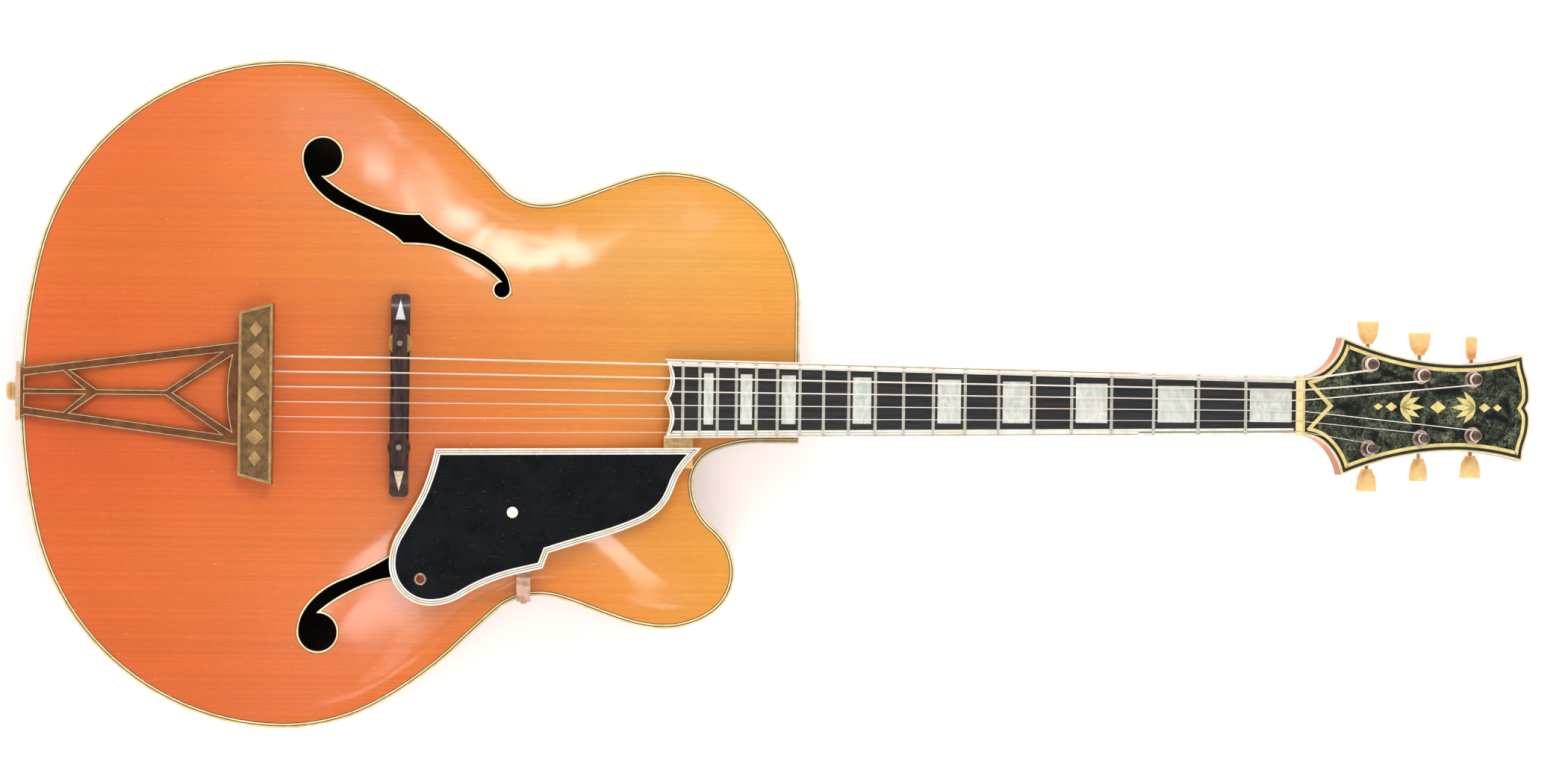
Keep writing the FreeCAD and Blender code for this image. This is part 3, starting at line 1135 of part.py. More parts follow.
def nut_point(k):
    """Centre of a string where it crosses the nut."""
    y = string_side(k, NUT_SPREAD)
    z = BOARD_THICKNESS + STRING_ABOVE_BOARD + STRING_DIAMETERS[k] / 2.0 - arch_drop(y)
    return NECK_FRAME.multVec(V(S_NUT + NUT_THICKNESS / 2.0, y, z))


def rounded_path(points, radius):
    """Stations of straight runs with an arc at each inner point."""
    nodes = []
    for i in range(1, len(points) - 1):
        before = (points[i] - points[i - 1]).normalize()
        after = (points[i + 1] - points[i]).normalize()
        bend = math.acos(min(1.0, before.dot(after)))
        setback = radius * math.tan(bend / 2.0)
        nodes.append((points[i] - before * setback, before, before))
        nodes.append((points[i] + after * setback, after, after))
    return nodes


def winding(k):
    """Stations of the turns of a string on its post, each a quarter turn on."""
    x, y, side = post_places()[k]
    radius = POST_RADIUS + TURN_CLEARANCE + STRING_DIAMETERS[k] / 2.0
    pitch = STRING_DIAMETERS[k] + TURN_GAP
    nodes = []
    nut = HEAD_FRAME.inverse().multVec(nut_point(k))
    lead = math.degrees(math.atan2(y - nut.y, x - nut.x)) * side
    lead += math.degrees(math.asin(radius / math.hypot(x - nut.x, y - nut.y)))
    for quarter in range(4 * STRING_TURNS + 1):
        angle = math.radians(90.0 * quarter - 90.0 + lead)
        out = V(math.cos(angle), side * math.sin(angle), 0)
        ahead = V(-math.sin(angle), side * math.cos(angle), -pitch / (2.0 * math.pi * radius)).normalize()
        spot = V(x, y, WINDING_TOP - pitch * quarter / 4.0) + out * radius
        spot, ahead = HEAD_FRAME.multVec(spot), HEAD_FRAME.Rotation.multVec(ahead)
        nodes.append((spot, ahead, ahead))
    return nodes


def string_path(nodes):
    """Open wire of arcs and lines through stations."""
    nodes = with_joints(nodes, False)
    return Part.Wire([arc_edge(n[0], n[2], nodes[i + 1][0]) for i, n in enumerate(nodes[:-1])])


def tube(nodes, radius):
    """Solid tube along stations joined by arcs and lines."""
    mouth = Part.Wire(Part.makeCircle(radius, nodes[0][0], nodes[0][2]))
    return string_path(nodes).makePipeShell([mouth], True, False)


def string_points(k):
    """Corners of a string's route: crossbar, saddle, nut and the start of its turns."""
    return [tail_anchor(k), saddle_point(k), nut_point(k), winding(k)[0][0]]


def string_run(points):
    """Stations of a string from the crossbar to the last of its points but one."""
    ahead = (points[1] - points[0]).normalize()
    return [(points[0], ahead, ahead)] + rounded_path(points, STRING_BEND)


def string_slot(k, corner, reach):
    """Cutters of a square slot, open at the top, where a string passes over one of its corners."""
    points = string_points(k)
    half = STRING_DIAMETERS[k] / 2.0 + SLOT_GAP
    floor = points[corner] - V(0, 0, half)
    tools = []
    for other in (points[corner - 1], points[corner + 1]):
        way = other - points[corner]
        far = floor + way * (reach / abs(way.x))
        top = max(floor.z, far.z) + reach
        wedge = Part.makePolygon([floor, far, V(far.x, far.y, top), V(floor.x, floor.y, top), floor])
        slot = Part.Face(wedge).extrude(Y_AXIS * (2.0 * half))
        slot.translate(Y_AXIS * -half)
        tools.append(slot)
    return tools


def least_gap(nodes, diameter):
    """Smallest gap between turns of a winding, measured on points a half turn or more apart."""
    per_turn = 36
    path = string_path(nodes).discretize(Number=per_turn * STRING_TURNS + 1)
    pairs = [(a, b) for i, a in enumerate(path) for b in path[i + per_turn // 2:]]
    return min(a.distanceToPoint(b) for a, b in pairs) - diameter


def build_strings(parts):
    """Six strings, each one unbroken tube with a barrel at its tail end."""
    for k in range(6):
        turns = winding(k)
        points, diameter = string_points(k), STRING_DIAMETERS[k]
        lead_in = (points[3] - points[2]).normalize()
        print("string", k + 1, "least gap between turns", round(least_gap(turns, diameter), 3), "mm")
        turns[0] = (turns[0][0], lead_in, lead_in)
        nodes = string_run(points) + turns
        start, ahead = nodes[0][0], nodes[0][2]
        barrel = rod(start - ahead * BALL_LENGTH, start + ahead * (BALL_LENGTH / 4.0), BALL_DIAMETER / 2.0)
        parts["string_" + str(k + 1)] = tube(nodes, diameter / 2.0).fuse(barrel)


def build():
    """Every piece by name, in the body frame."""
    parts = {}
    stations = body_stations()
    over = build_body(stations, edge_distances(stations), parts)
    build_neck(over, parts)
    build_tuners(parts)
    build_bridge(over, parts)
    build_tailpiece(parts)
    build_guard(parts)
    build_strings(parts)
    parts["wood_screws"] = Part.makeCompound([screw[0] for screw in screw_list()])
    return parts


def main():
    """Build and write every piece, with the origin under the middle of the guitar."""
    os.makedirs("parts", exist_ok=True)
    for name, shape in build().items():
        shape.translate(V(-CENTRE_X, 0, 0))
        shape.exportStep("parts/" + name + ".step")


if __name__ == "__main__":
    main()
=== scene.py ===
"""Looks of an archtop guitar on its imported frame: finishes, inlaid lines, strings, light and camera."""
import json
import math

import bmesh
import bpy
from mathutils import Matrix, Vector
from mathutils.bvhtree import BVHTree

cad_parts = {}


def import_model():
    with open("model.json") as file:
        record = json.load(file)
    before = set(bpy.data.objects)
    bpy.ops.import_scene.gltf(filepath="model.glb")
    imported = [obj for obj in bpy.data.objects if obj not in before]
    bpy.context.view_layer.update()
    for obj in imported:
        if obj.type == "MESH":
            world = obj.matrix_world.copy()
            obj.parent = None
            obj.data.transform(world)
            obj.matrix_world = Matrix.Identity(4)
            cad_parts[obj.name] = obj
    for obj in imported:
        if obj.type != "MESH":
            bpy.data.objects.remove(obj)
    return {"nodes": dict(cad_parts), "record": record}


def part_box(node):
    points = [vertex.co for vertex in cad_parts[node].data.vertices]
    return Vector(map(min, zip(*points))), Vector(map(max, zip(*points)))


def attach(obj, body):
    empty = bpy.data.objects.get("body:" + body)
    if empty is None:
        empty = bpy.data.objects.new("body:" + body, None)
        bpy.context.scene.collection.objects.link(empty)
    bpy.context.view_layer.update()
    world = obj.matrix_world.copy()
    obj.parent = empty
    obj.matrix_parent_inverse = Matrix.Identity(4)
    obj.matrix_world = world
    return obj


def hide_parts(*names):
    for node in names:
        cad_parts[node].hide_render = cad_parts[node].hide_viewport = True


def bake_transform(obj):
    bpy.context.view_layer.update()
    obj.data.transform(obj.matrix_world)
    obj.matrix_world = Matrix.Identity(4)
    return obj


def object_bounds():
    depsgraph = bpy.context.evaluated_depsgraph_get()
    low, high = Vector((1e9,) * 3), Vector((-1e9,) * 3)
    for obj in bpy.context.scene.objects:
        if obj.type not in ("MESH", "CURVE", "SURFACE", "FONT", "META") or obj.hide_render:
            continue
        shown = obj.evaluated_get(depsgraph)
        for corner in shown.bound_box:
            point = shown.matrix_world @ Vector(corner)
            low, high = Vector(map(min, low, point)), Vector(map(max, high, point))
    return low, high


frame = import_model()
cad_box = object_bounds()
NODES = frame["nodes"]
MM = 0.001
UP = Vector((0, 0, 1))
ACROSS = Vector((0, 1, 0))

# Thin lines let into a surface stand a little proud of it and reach a little into it. Their corners are
# mitred up to a limit, and a ray from above finds the surface under them.
LINE_LIFT = 0.06 * MM
LINE_DEPTH = 0.3 * MM
CLOSE_POINTS = 0.25 * MM
MITRE_LIMIT = 0.35
RAY_START = 20.0 * MM
RAY_REACH = 50.0 * MM

# How nearly a face looks along an axis to be counted: as an upper face, on a gentle slope, on a rounded
# edge, or on the flat.
UPPER_FACES = 0.8
GENTLE_FACES = 0.93
ROUNDED_FACES = 0.6
FLAT_FACES = 0.98

# Where the lines of the top stop at the neck, the least length of a window's edge in the tailpiece, and
# the width of the pickguard's lines in millimetres.
NECK_START = 12.0 * MM
NECK_HALF = 27.5 * MM
WINDOW_LEAST = 90.0 * MM
GUARD_LINE = 0.55

# Strings, from the first on the treble side to the sixth on the bass side.
STRING_DIAMETERS = [d * MM for d in (0.33, 0.43, 0.66, 0.89, 1.14, 1.42)]
STRING_SIDES = 12
TURNS = 3
TURN_STEPS = 24
TURN_GAP = 0.46 * MM
TURN_CLEARANCE = 0.08 * MM
TURNS_TOP = 11.4 * MM
POST_RADIUS = 3.3 * MM

# The headstock's frame at the nut, the height of its face, and the tuner posts along and across it.
HEAD_ORIGIN = Vector((0.385471, 0.0, 0.097602))
HEAD_TILT = math.radians(18.0)
HEAD_FACE = 2.0 * MM
FIRST_POST_X = 50.5 * MM
POST_PITCH = 40.0 * MM
POST_ROWS = [row * MM for row in (30.6, 22.8, 20.4)]
HEAD_FRAME = Matrix.Translation(HEAD_ORIGIN) @ Matrix.Rotation(HEAD_TILT, 4, "Y")

# The camera looks straight down on the guitar, turned by the small tilt of the view.
CAMERA_AIM = (0.0111, 0.0074, 0.108)
CAMERA_HEIGHT = 12.0
CAMERA_TURN = math.radians(0.66)
VIEW_WIDTH = 1.1323
SENSOR = 36.0


# Colours and the builder of node materials

# Usual spread of a noise value, and how far normals on flat and worn places agree with a rounded one.
CLOUD_RANGE = (0.3, 0.7)
EDGE_BENDS = (0.99, 0.8)


def srgb(red, green, blue):
    """Linear colour of an eight-bit display colour."""
    channels = []
    for value in (red, green, blue):
        share = value / 255.0
        channels.append(share / 12.92 if share <= 0.04045 else ((share + 0.055) / 1.055) ** 2.4)
    return (*channels, 1.0)


class Finish:
    """A material under construction, with short calls for the nodes it uses."""

    def __init__(self, name):
        self.material = bpy.data.materials.new(name)
        self.material.use_nodes = True
        self.tree = self.material.node_tree
        self.shader = self.tree.nodes["Principled BSDF"]
        self.coordinates = self.node("ShaderNodeTexCoord")
        self.place = self.coordinates.outputs["Object"]

    def node(self, kind, **settings):
        """A new node with its settings."""
        made = self.tree.nodes.new(kind)
        for name, value in settings.items():
            setattr(made, name, value)
        return made

    def feed(self, socket, value):
        """Link a socket to another node's output, or set its own value."""
        if isinstance(value, bpy.types.NodeSocket):
            self.tree.links.new(value, socket)
        else:
            socket.default_value = value

    def stretched(self, x, y, z):
        """The place on the object with each axis multiplied, as features per metre."""
        made = self.node("ShaderNodeVectorMath", operation="MULTIPLY")
        self.feed(made.inputs[0], self.place)
        made.inputs[1].default_value = (x, y, z)
        return made.outputs[0]

    def axes(self, vector):
        """The three parts of a vector."""
        made = self.node("ShaderNodeSeparateXYZ")
        self.feed(made.inputs[0], vector)
        return made.outputs

    def along(self, vector, axis):
        """How far a vector points along an axis."""
        made = self.node("ShaderNodeVectorMath", operation="DOT_PRODUCT")
        self.feed(made.inputs[0], vector)
        made.inputs[1].default_value = axis
        return made.outputs["Value"]

    def facing(self, axis):
        """How far the surface faces an axis of the object."""
        return self.along(self.coordinates.outputs["Normal"], axis)

    def noise(self, where, scale=1.0, detail=4.0, rough=0.55, twist=0.0):
        """Cloudy value, mostly within CLOUD_RANGE."""
        made = self.node("ShaderNodeTexNoise")
        self.feed(made.inputs["Vector"], where)
        made.inputs["Scale"].default_value = scale
        made.inputs["Detail"].default_value = detail
        made.inputs["Roughness"].default_value = rough
        made.inputs["Distortion"].default_value = twist
        return made.outputs["Fac"]

    def cells(self, where, scale, output="Distance", feature="F1"):
        """Cell pattern: distance in each cell, or one random colour for each."""
        made = self.node("ShaderNodeTexVoronoi", feature=feature)
        self.feed(made.inputs["Vector"], where)
        made.inputs["Scale"].default_value = scale
        return made.outputs[output]

    def ramp(self, value, stops):
        """Colour that runs through stops of place and colour."""
        made = self.node("ShaderNodeValToRGB")
        self.feed(made.inputs[0], value)
        bar = made.color_ramp.elements
        while len(bar) < len(stops):
            bar.new(0.5)
        for mark, (spot, colour) in zip(bar, stops):
            mark.position = spot
            mark.color = colour
        return made.outputs[0]

    def spread(self, value, low, high, to_low=0.0, to_high=1.0):
        """A value carried from one range to another, held at its ends."""
        made = self.node("ShaderNodeMapRange")
        for socket, number in zip(made.inputs, (value, low, high, to_low, to_high)):
            self.feed(socket, number)
        return made.outputs[0]

    def cloudy(self, value, to_low, to_high):
        """A cloudy value carried to another range."""
        return self.spread(value, *CLOUD_RANGE, to_low, to_high)

    def calc(self, operation, first, second=0.0):
        """Arithmetic on one value or two."""
        made = self.node("ShaderNodeMath", operation=operation)
        self.feed(made.inputs[0], first)
        self.feed(made.inputs[1], second)
        return made.outputs[0]

    def plus(self, first, second):
        """Two values added."""
        return self.calc("ADD", first, second)

    def times(self, first, second):
        """Two values multiplied."""
        return self.calc("MULTIPLY", first, second)

    def blend(self, share, low, high, mode="MIX"):
        """Two colours mixed by a share."""
        made = self.node("ShaderNodeMix", data_type="RGBA", blend_type=mode)
        self.feed(made.inputs[0], share)
        self.feed(made.inputs[6], low)
        self.feed(made.inputs[7], high)
        return made.outputs[2]

    def shaded(self, colour, value, low, high):
        """Colour made darker or lighter where a cloudy value is low or high."""
        return self.blend(1.0, colour, self.cloudy(value, low, high), "MULTIPLY")

    def edges(self, radius):
        """Share of wear on edges of about that radius."""
        round_normal = self.node("ShaderNodeBevel", samples=4)
        round_normal.inputs["Radius"].default_value = radius
        flat_normal = self.node("ShaderNodeNewGeometry").outputs["Normal"]
        made = self.node("ShaderNodeVectorMath", operation="DOT_PRODUCT")
        self.feed(made.inputs[0], round_normal.outputs[0])
        self.feed(made.inputs[1], flat_normal)
        return self.spread(made.outputs["Value"], *EDGE_BENDS)

    def bump(self, height, strength, depth, under=None):
        """Surface relief from a height, in metres of depth."""
        made = self.node("ShaderNodeBump")
        made.inputs["Strength"].default_value = strength
        made.inputs["Distance"].default_value = depth
        self.feed(made.inputs["Height"], height)
        if under is not None:
            self.feed(made.inputs["Normal"], under)
        return made.outputs[0]

    def done(self, colour, rough, normal=None, metal=None, coat=None, coat_rough=None):
        """Feed the shader and hand over the material."""
        inputs = self.shader.inputs
        self.feed(inputs["Base Color"], colour)
        self.feed(inputs["Roughness"], rough)
        if normal is not None:
            self.feed(inputs["Normal"], normal)
        for name, value in (("Metallic", metal), ("Coat Weight", coat), ("Coat Roughness", coat_rough)):
            if value is not None:
                self.feed(inputs[name], value)
        return self.material


# Woods

# The top turns from red to yellow along its length and a little across it. Broad strips, each at a place
# across, are more or less yellow: most give the top's tone, and the darkest, just to the treble side of the
# middle, are painted shade standing for the shadow of the pickguard and the bridge.
GLOW_LEAN = 0.3
GLOW_ENDS = (-0.58, 0.06)
STRIP_SPAN = 0.20
TONE_AND_SHADE_STRIPS = [(-0.20, 0.90), (-0.15, 0.95), (-0.10, 0.95), (-0.055, 0.79), (-0.02, 0.80), (0.02, 0.90),
          (0.055, 0.87), (0.095, 1.0), (0.14, 0.96), (0.19, 0.87)]

# Its polish is thin on the low edge, and rubbed to a haze behind a place near the tail, where a pale tint
# is added to the colour as painted reflection of the white surroundings.
COAT_HEIGHTS = (0.1105, 0.1140)
COAT_WEIGHTS = (0.2, 0.8)
HAZE_AND_REFLECTION_PLACES = (-0.334, -0.300)
PAINTED_REFLECTION_TINT = (0.0, 0.008, 0.007, 1.0)
HAZE_COAT = 0.05


def spruce_top():
    """Amber lacquer over straight-grained spruce, redder at the tail and yellower at the neck."""
    f = Finish("spruce_top")
    x, y, z = f.axes(f.place)
    glow = f.spread(f.plus(x, f.times(y, GLOW_LEAN)), *GLOW_ENDS)
    colour = f.ramp(glow, [
        (0.0, srgb(219, 97, 25)),
        (0.35, srgb(221, 109, 28)),
        (0.6, srgb(224, 129, 34)),
        (0.8, srgb(227, 154, 47)),
        (1.0, srgb(229, 158, 56)),
    ])
    # Strips of tone across the top, with painted shade of the pickguard and bridge just to the treble side of
    # the middle.
    stops = [(0.5 + 0.5 * spot / STRIP_SPAN, (1.0, share, share ** 0.6, 1.0)) for spot, share in TONE_AND_SHADE_STRIPS]
    tone_and_shade = f.ramp(f.spread(y, -STRIP_SPAN, STRIP_SPAN), stops)
    colour = f.blend(1.0, colour, tone_and_shade, "MULTIPLY")
    rings = f.noise(f.stretched(2.5, 640, 2.5), detail=3.0, twist=0.15)
    streaks = f.noise(f.stretched(1.2, 42, 1.2), detail=2.0)
    silk = f.noise(f.stretched(170, 900, 170), detail=2.0)
    clouds = f.noise(f.place, scale=7.0, detail=3.0)
    colour = f.shaded(colour, rings, 0.92, 1.06)
    colour = f.shaded(colour, streaks, 0.97, 1.03)
    colour = f.shaded(colour, silk, 0.95, 1.04)
    colour = f.shaded(colour, clouds, 0.95, 1.05)
    nicks = f.spread(f.noise(f.stretched(260, 420, 260), detail=1.0), 0.77, 0.80)
    colour = f.blend(f.times(nicks, 0.4), colour, srgb(250, 190, 120))
    # Painted shade: the underside, seen through the f-holes, is turned dark brown for the dark inside of the
    # body.
    inside_painted_shade = f.spread(f.facing(UP), 0.1, -0.1)
    colour = f.blend(inside_painted_shade, colour, srgb(84, 56, 34))
    rough = f.cloudy(clouds, 0.34, 0.46)
    normal = f.bump(rings, 0.12, 0.05 * MM)
    f.feed(f.shader.inputs["Coat Normal"], f.bump(rings, 0.15, 0.05 * MM))
    thin_at_edge = f.spread(z, *COAT_HEIGHTS, *COAT_WEIGHTS)
    haze_and_painted_reflection = f.spread(x, *HAZE_AND_REFLECTION_PLACES, 1.0, 0.0)
    # Painted reflection: a pale tint where the polish is rubbed to a haze.
    colour = f.blend(haze_and_painted_reflection, colour, PAINTED_REFLECTION_TINT, "ADD")
    coat = f.times(thin_at_edge, f.spread(haze_and_painted_reflection, 0.0, 1.0, 1.0, HAZE_COAT))
    return f.done(colour, rough, normal, coat=coat, coat_rough=0.09)


def flamed_maple(name, bars, pale, deep, coat=0.7, matched=False):
    """Amber lacquer over maple with flame across the grain, as two mirrored halves where it is matched, with
    painted shade on the inner face.
    """
    f = Finish(name)
    if matched:
        x, y, z = f.axes(f.place)
        away = f.calc("ABSOLUTE", y)
        seam = f.spread(away, 0.5 * MM, 0.15 * MM)
        halves = f.node("ShaderNodeCombineXYZ")
        for socket, value in zip(halves.inputs, (f.plus(x, f.times(away, 0.35)), away, z)):
            f.feed(socket, value)
        f.place = halves.outputs[0]
    flame = f.noise(f.stretched(*bars), detail=2.0, twist=0.5)
    fine = f.noise(f.stretched(*[3.0 * bar for bar in bars]), detail=2.0)
    grain = f.noise(f.stretched(10, 420, 420), detail=3.0)
    share = f.spread(f.plus(flame, f.times(fine, 0.3)), 0.52, 0.80)
    colour = f.blend(share, deep, pale)
    colour = f.shaded(colour, grain, 0.92, 1.05)
    colour = f.shaded(colour, f.noise(f.place, scale=9.0, detail=3.0), 0.9, 1.06)
    if matched:
        colour = f.blend(f.times(seam, 0.7), colour, srgb(70, 36, 18))
        # Painted shade: the inner face of the back, looking up into the body, is turned dark brown.
        colour = f.blend(f.spread(f.facing(UP), -0.1, 0.1), colour, srgb(58, 36, 22))
    worn = f.edges(0.6 * MM)
    colour = f.blend(f.times(worn, 0.35), colour, srgb(236, 186, 120))
    normal = f.bump(grain, 0.08, 0.04 * MM)
    return f.done(colour, f.cloudy(flame, 0.32, 0.42), normal, coat=coat, coat_rough=0.1)


def plain_wood(name, pale, deep, grain_scale, coat):
    """Bare or satin wood with straight grain."""
    f = Finish(name)
    grain = f.noise(f.stretched(*grain_scale), detail=4.0, twist=0.3)
    colour = f.blend(f.spread(grain, 0.35, 0.65), deep, pale)
    colour = f.shaded(colour, f.noise(f.place, scale=60.0, detail=3.0), 0.9, 1.07)
    normal = f.bump(grain, 0.25, 0.1 * MM)
    return f.done(colour, f.cloudy(grain, 0.5, 0.65), normal, coat=coat, coat_rough=0.25)


def dark_wood(name, grain_scale, pale, deep, rough, coat):
    """Dense dark wood with streaks, open pores and a little polish on its edges."""
    f = Finish(name)
    streak = f.noise(f.stretched(*grain_scale), detail=5.0, twist=0.4)
    pores = f.noise(f.stretched(*[5.0 * scale for scale in grain_scale]), detail=2.0)
    colour = f.blend(f.spread(streak, 0.36, 0.66), deep, pale)
    colour = f.shaded(colour, pores, 0.78, 1.1)
    colour = f.blend(f.times(f.edges(0.5 * MM), 0.3), colour, pale)
    normal = f.bump(pores, 0.3, 0.06 * MM)
    return f.done(colour, f.cloudy(pores, rough + 0.12, rough), normal, coat=coat, coat_rough=0.12)


# Plastics, pearl and bone


def celluloid(name, pale, aged, cloud_scale=120.0, rough=0.3, coat=0.4):
    """Old celluloid: cloudy colour, fine scratches and a darker edge where it has worn."""
    f = Finish(name)
    cloud = f.noise(f.place, scale=cloud_scale, detail=4.0, twist=0.6)
    flecks = f.noise(f.place, scale=8.0 * cloud_scale, detail=2.0)
    scratch = f.noise(f.stretched(1400, 90, 400), detail=2.0)
    colour = f.blend(f.spread(cloud, 0.35, 0.68), pale, aged)
    colour = f.shaded(colour, flecks, 0.96, 1.03)
    colour = f.blend(f.times(f.edges(0.25 * MM), 0.35), colour, aged)
    normal = f.bump(scratch, 0.12, 0.03 * MM)
    normal = f.bump(cloud, 0.06, 0.2 * MM, normal)
    return f.done(colour, f.cloudy(scratch, rough, rough + 0.12), normal, coat=coat, coat_rough=0.1)


def black_plastic():
    """Glossy black sheet with hazy scuffs, dust and short scratches."""
    f = Finish("black_plastic")
    haze = f.noise(f.place, scale=45.0, detail=5.0, rough=0.65)
    dust = f.spread(f.noise(f.place, scale=900.0, detail=1.0), 0.745, 0.78)
    scratch = f.spread(f.noise(f.stretched(90, 1500, 400), detail=2.0, twist=1.2), 0.66, 0.72)
    colour = f.blend(f.spread(haze, 0.35, 0.7), srgb(4, 6, 10), srgb(12, 15, 20))
    colour = f.blend(f.times(dust, 0.35), colour, srgb(150, 148, 142))
    colour = f.blend(f.times(scratch, 0.12), colour, srgb(120, 122, 124))
    normal = f.bump(haze, 0.08, 0.25 * MM)
    f.shader.inputs["Specular IOR Level"].default_value = 0.2
    return f.done(colour, f.cloudy(haze, 0.22, 0.36), normal)


def amber_plastic():
    """Cream-amber moulded plastic with soft swirls and darker worn corners."""
    f = Finish("amber_plastic")
    swirl = f.noise(f.place, scale=90.0, detail=3.0, twist=2.2)
    bands = f.noise(f.stretched(60, 240, 160), detail=2.0, twist=1.0)
    colour = f.ramp(swirl, [
        (0.3, srgb(242, 200, 122)),
        (0.5, srgb(247, 210, 136)),
        (0.7, srgb(251, 220, 156)),
    ])
    colour = f.shaded(colour, bands, 0.95, 1.03)
    colour = f.blend(f.times(f.edges(0.5 * MM), 0.25), colour, srgb(222, 158, 84))
    normal = f.bump(bands, 0.1, 0.15 * MM)
    inputs = f.shader.inputs
    inputs["Subsurface Weight"].default_value = 0.15
    inputs["Subsurface Radius"].default_value = (1.0, 0.6, 0.3)
    inputs["Subsurface Scale"].default_value = 1.5 * MM
    return f.done(colour, f.cloudy(swirl, 0.3, 0.42), normal, coat=0.3, coat_rough=0.15)


def pearl(name, tints, scale, treble_tints=None):
    """Mother-of-pearl: drifting tints in folded sheets, which may differ on the treble side."""
    f = Finish(name)
    fold = f.noise(f.stretched(scale, 0.4 * scale, scale), detail=2.0, twist=3.0)
    sheet = f.noise(f.place, scale=0.5 * scale, detail=3.0, twist=1.5)
    lines = f.noise(f.stretched(6.0 * scale, 1.5 * scale, scale), detail=2.0, twist=1.5)
    spots = (0.28, 0.45, 0.58, 0.75)
    colour = f.ramp(fold, list(zip(spots, tints)))
    if treble_tints:
        bass_side = f.spread(f.axes(f.place)[1], -MM, MM)
        colour = f.blend(bass_side, f.ramp(fold, list(zip(spots, treble_tints))), colour)
    colour = f.shaded(colour, sheet, 0.92, 1.05)
    colour = f.shaded(colour, lines, 0.97, 1.02)
    normal = f.bump(lines, 0.05, 0.05 * MM)
    return f.done(colour, f.cloudy(sheet, 0.16, 0.3), normal, coat=0.6, coat_rough=0.06)


def dark_pearloid():
    """Green-black pearl sheet: small crushed cells, pale veins and a worn polish."""
    f = Finish("dark_pearloid")
    warp = f.noise(f.place, scale=55.0, detail=4.0, twist=1.4)
    flakes = f.cells(f.place, 420.0, "Color")
    veins = f.cells(f.place, 420.0, "Distance", "DISTANCE_TO_EDGE")
    shade = f.along(flakes, (0.5, 0.3, 0.2))
    colour = f.ramp(f.plus(f.times(shade, 0.5), f.times(warp, 0.6)), [
        (0.25, srgb(5, 8, 6)),
        (0.5, srgb(9, 14, 10)),
        (0.68, srgb(25, 34, 24)),
        (0.82, srgb(104, 116, 80)),
    ])
    line = f.times(f.spread(veins, 0.06, 0.0), f.spread(warp, 0.45, 0.6))
    colour = f.blend(f.times(line, 0.4), colour, srgb(128, 138, 106))
    curls = f.noise(f.place, scale=190.0, detail=3.0, twist=3.5)
    scratch = f.spread(f.calc("ABSOLUTE", f.calc("SUBTRACT", curls, 0.5)), 0.022, 0.006)
    scratch = f.times(scratch, f.spread(warp, 0.40, 0.62))
    colour = f.blend(f.times(scratch, 0.85), colour, srgb(176, 182, 146))
    normal = f.bump(veins, 0.15, 0.06 * MM)
    f.shader.inputs["Specular IOR Level"].default_value = 0.3
    return f.done(colour, f.cloudy(warp, 0.2, 0.36), normal, coat=0.15, coat_rough=0.08)


# Metals


def metal(name, bright, tarnish, share, rough, scale=220.0, metallic=1.0):
    """Bare metal with blotchy tarnish, brushed scratches and edges rubbed bright."""
    f = Finish(name)
    blotch = f.noise(f.place, scale=scale, detail=5.0, rough=0.65)
    brush = f.noise(f.stretched(2200, 160, 700), detail=2.0)
    stain = f.times(f.spread(blotch, 0.38, 0.64), share)
    worn = f.edges(0.35 * MM)
    colour = f.blend(stain, bright, tarnish)
    colour = f.shaded(colour, brush, 0.92, 1.05)
    colour = f.blend(f.times(worn, 0.7), colour, bright)
    normal = f.bump(brush, 0.1, 0.02 * MM)
    normal = f.bump(blotch, 0.08, 0.1 * MM, normal)
    return f.done(colour, f.cloudy(blotch, rough, rough + 0.16), normal, metal=metallic)


# The strip rubbed pale on the tailpiece's bend: from how far ahead of its back, and how far below its top.
RUBBED_AHEAD = (3.5 * MM, 3.2 * MM)
RUBBED_BELOW = (6.0 * MM, 2.0 * MM)


def patina_brass(name, brown, dark, bright, metallic, scale, bend=None):
    """Brass under a brown patina that is rubbed through on corners and bevels, and along a bend."""
    f = Finish(name)
    blotch = f.noise(f.place, scale=scale, detail=6.0, rough=0.6)
    pits = f.noise(f.place, scale=9.0 * scale, detail=2.0)
    brush = f.noise(f.stretched(120, 1800, 500), detail=2.0)
    colour = f.blend(f.spread(blotch, 0.34, 0.66), dark, brown)
    colour = f.shaded(colour, pits, 0.86, 1.08)
    colour = f.shaded(colour, brush, 0.94, 1.05)
    worn = f.times(f.edges(0.5 * MM), f.spread(blotch, 0.3, 0.6, 0.45, 1.0))
    colour = f.blend(worn, colour, bright)
    if bend is not None:
        x, _, z = f.axes(f.place)
        behind = f.spread(x, *[bend.x + ahead for ahead in RUBBED_AHEAD])
        above = f.spread(z, *[bend.z - below for below in RUBBED_BELOW])
        rubbed = f.times(f.times(behind, above), f.spread(blotch, 0.3, 0.6, 1.0, 0.75))
        colour = f.blend(rubbed, colour, srgb(248, 208, 168))
    normal = f.bump(pits, 0.2, 0.06 * MM)
    normal = f.bump(brush, 0.08, 0.03 * MM, normal)
    return f.done(colour, f.cloudy(pits, 0.46, 0.34), normal, metal=metallic)


def wound_metal(name, bright, tarnish, wraps, metallic):
    """String metal with fine wraps across its length and a duller, fingered side."""
    f = Finish(name)
    x, _, _ = f.axes(f.place)
    wrap = f.calc("SINE", f.times(x, 2.0 * math.pi * wraps))
    dull = f.noise(f.stretched(40, 400, 400), detail=4.0)
    colour = f.blend(f.spread(dull, 0.4, 0.7), bright, tarnish)
    normal = f.bump(wrap, 0.25, 0.05 * MM)
    return f.done(colour, f.cloudy(dull, 0.22, 0.38), normal, metal=metallic)


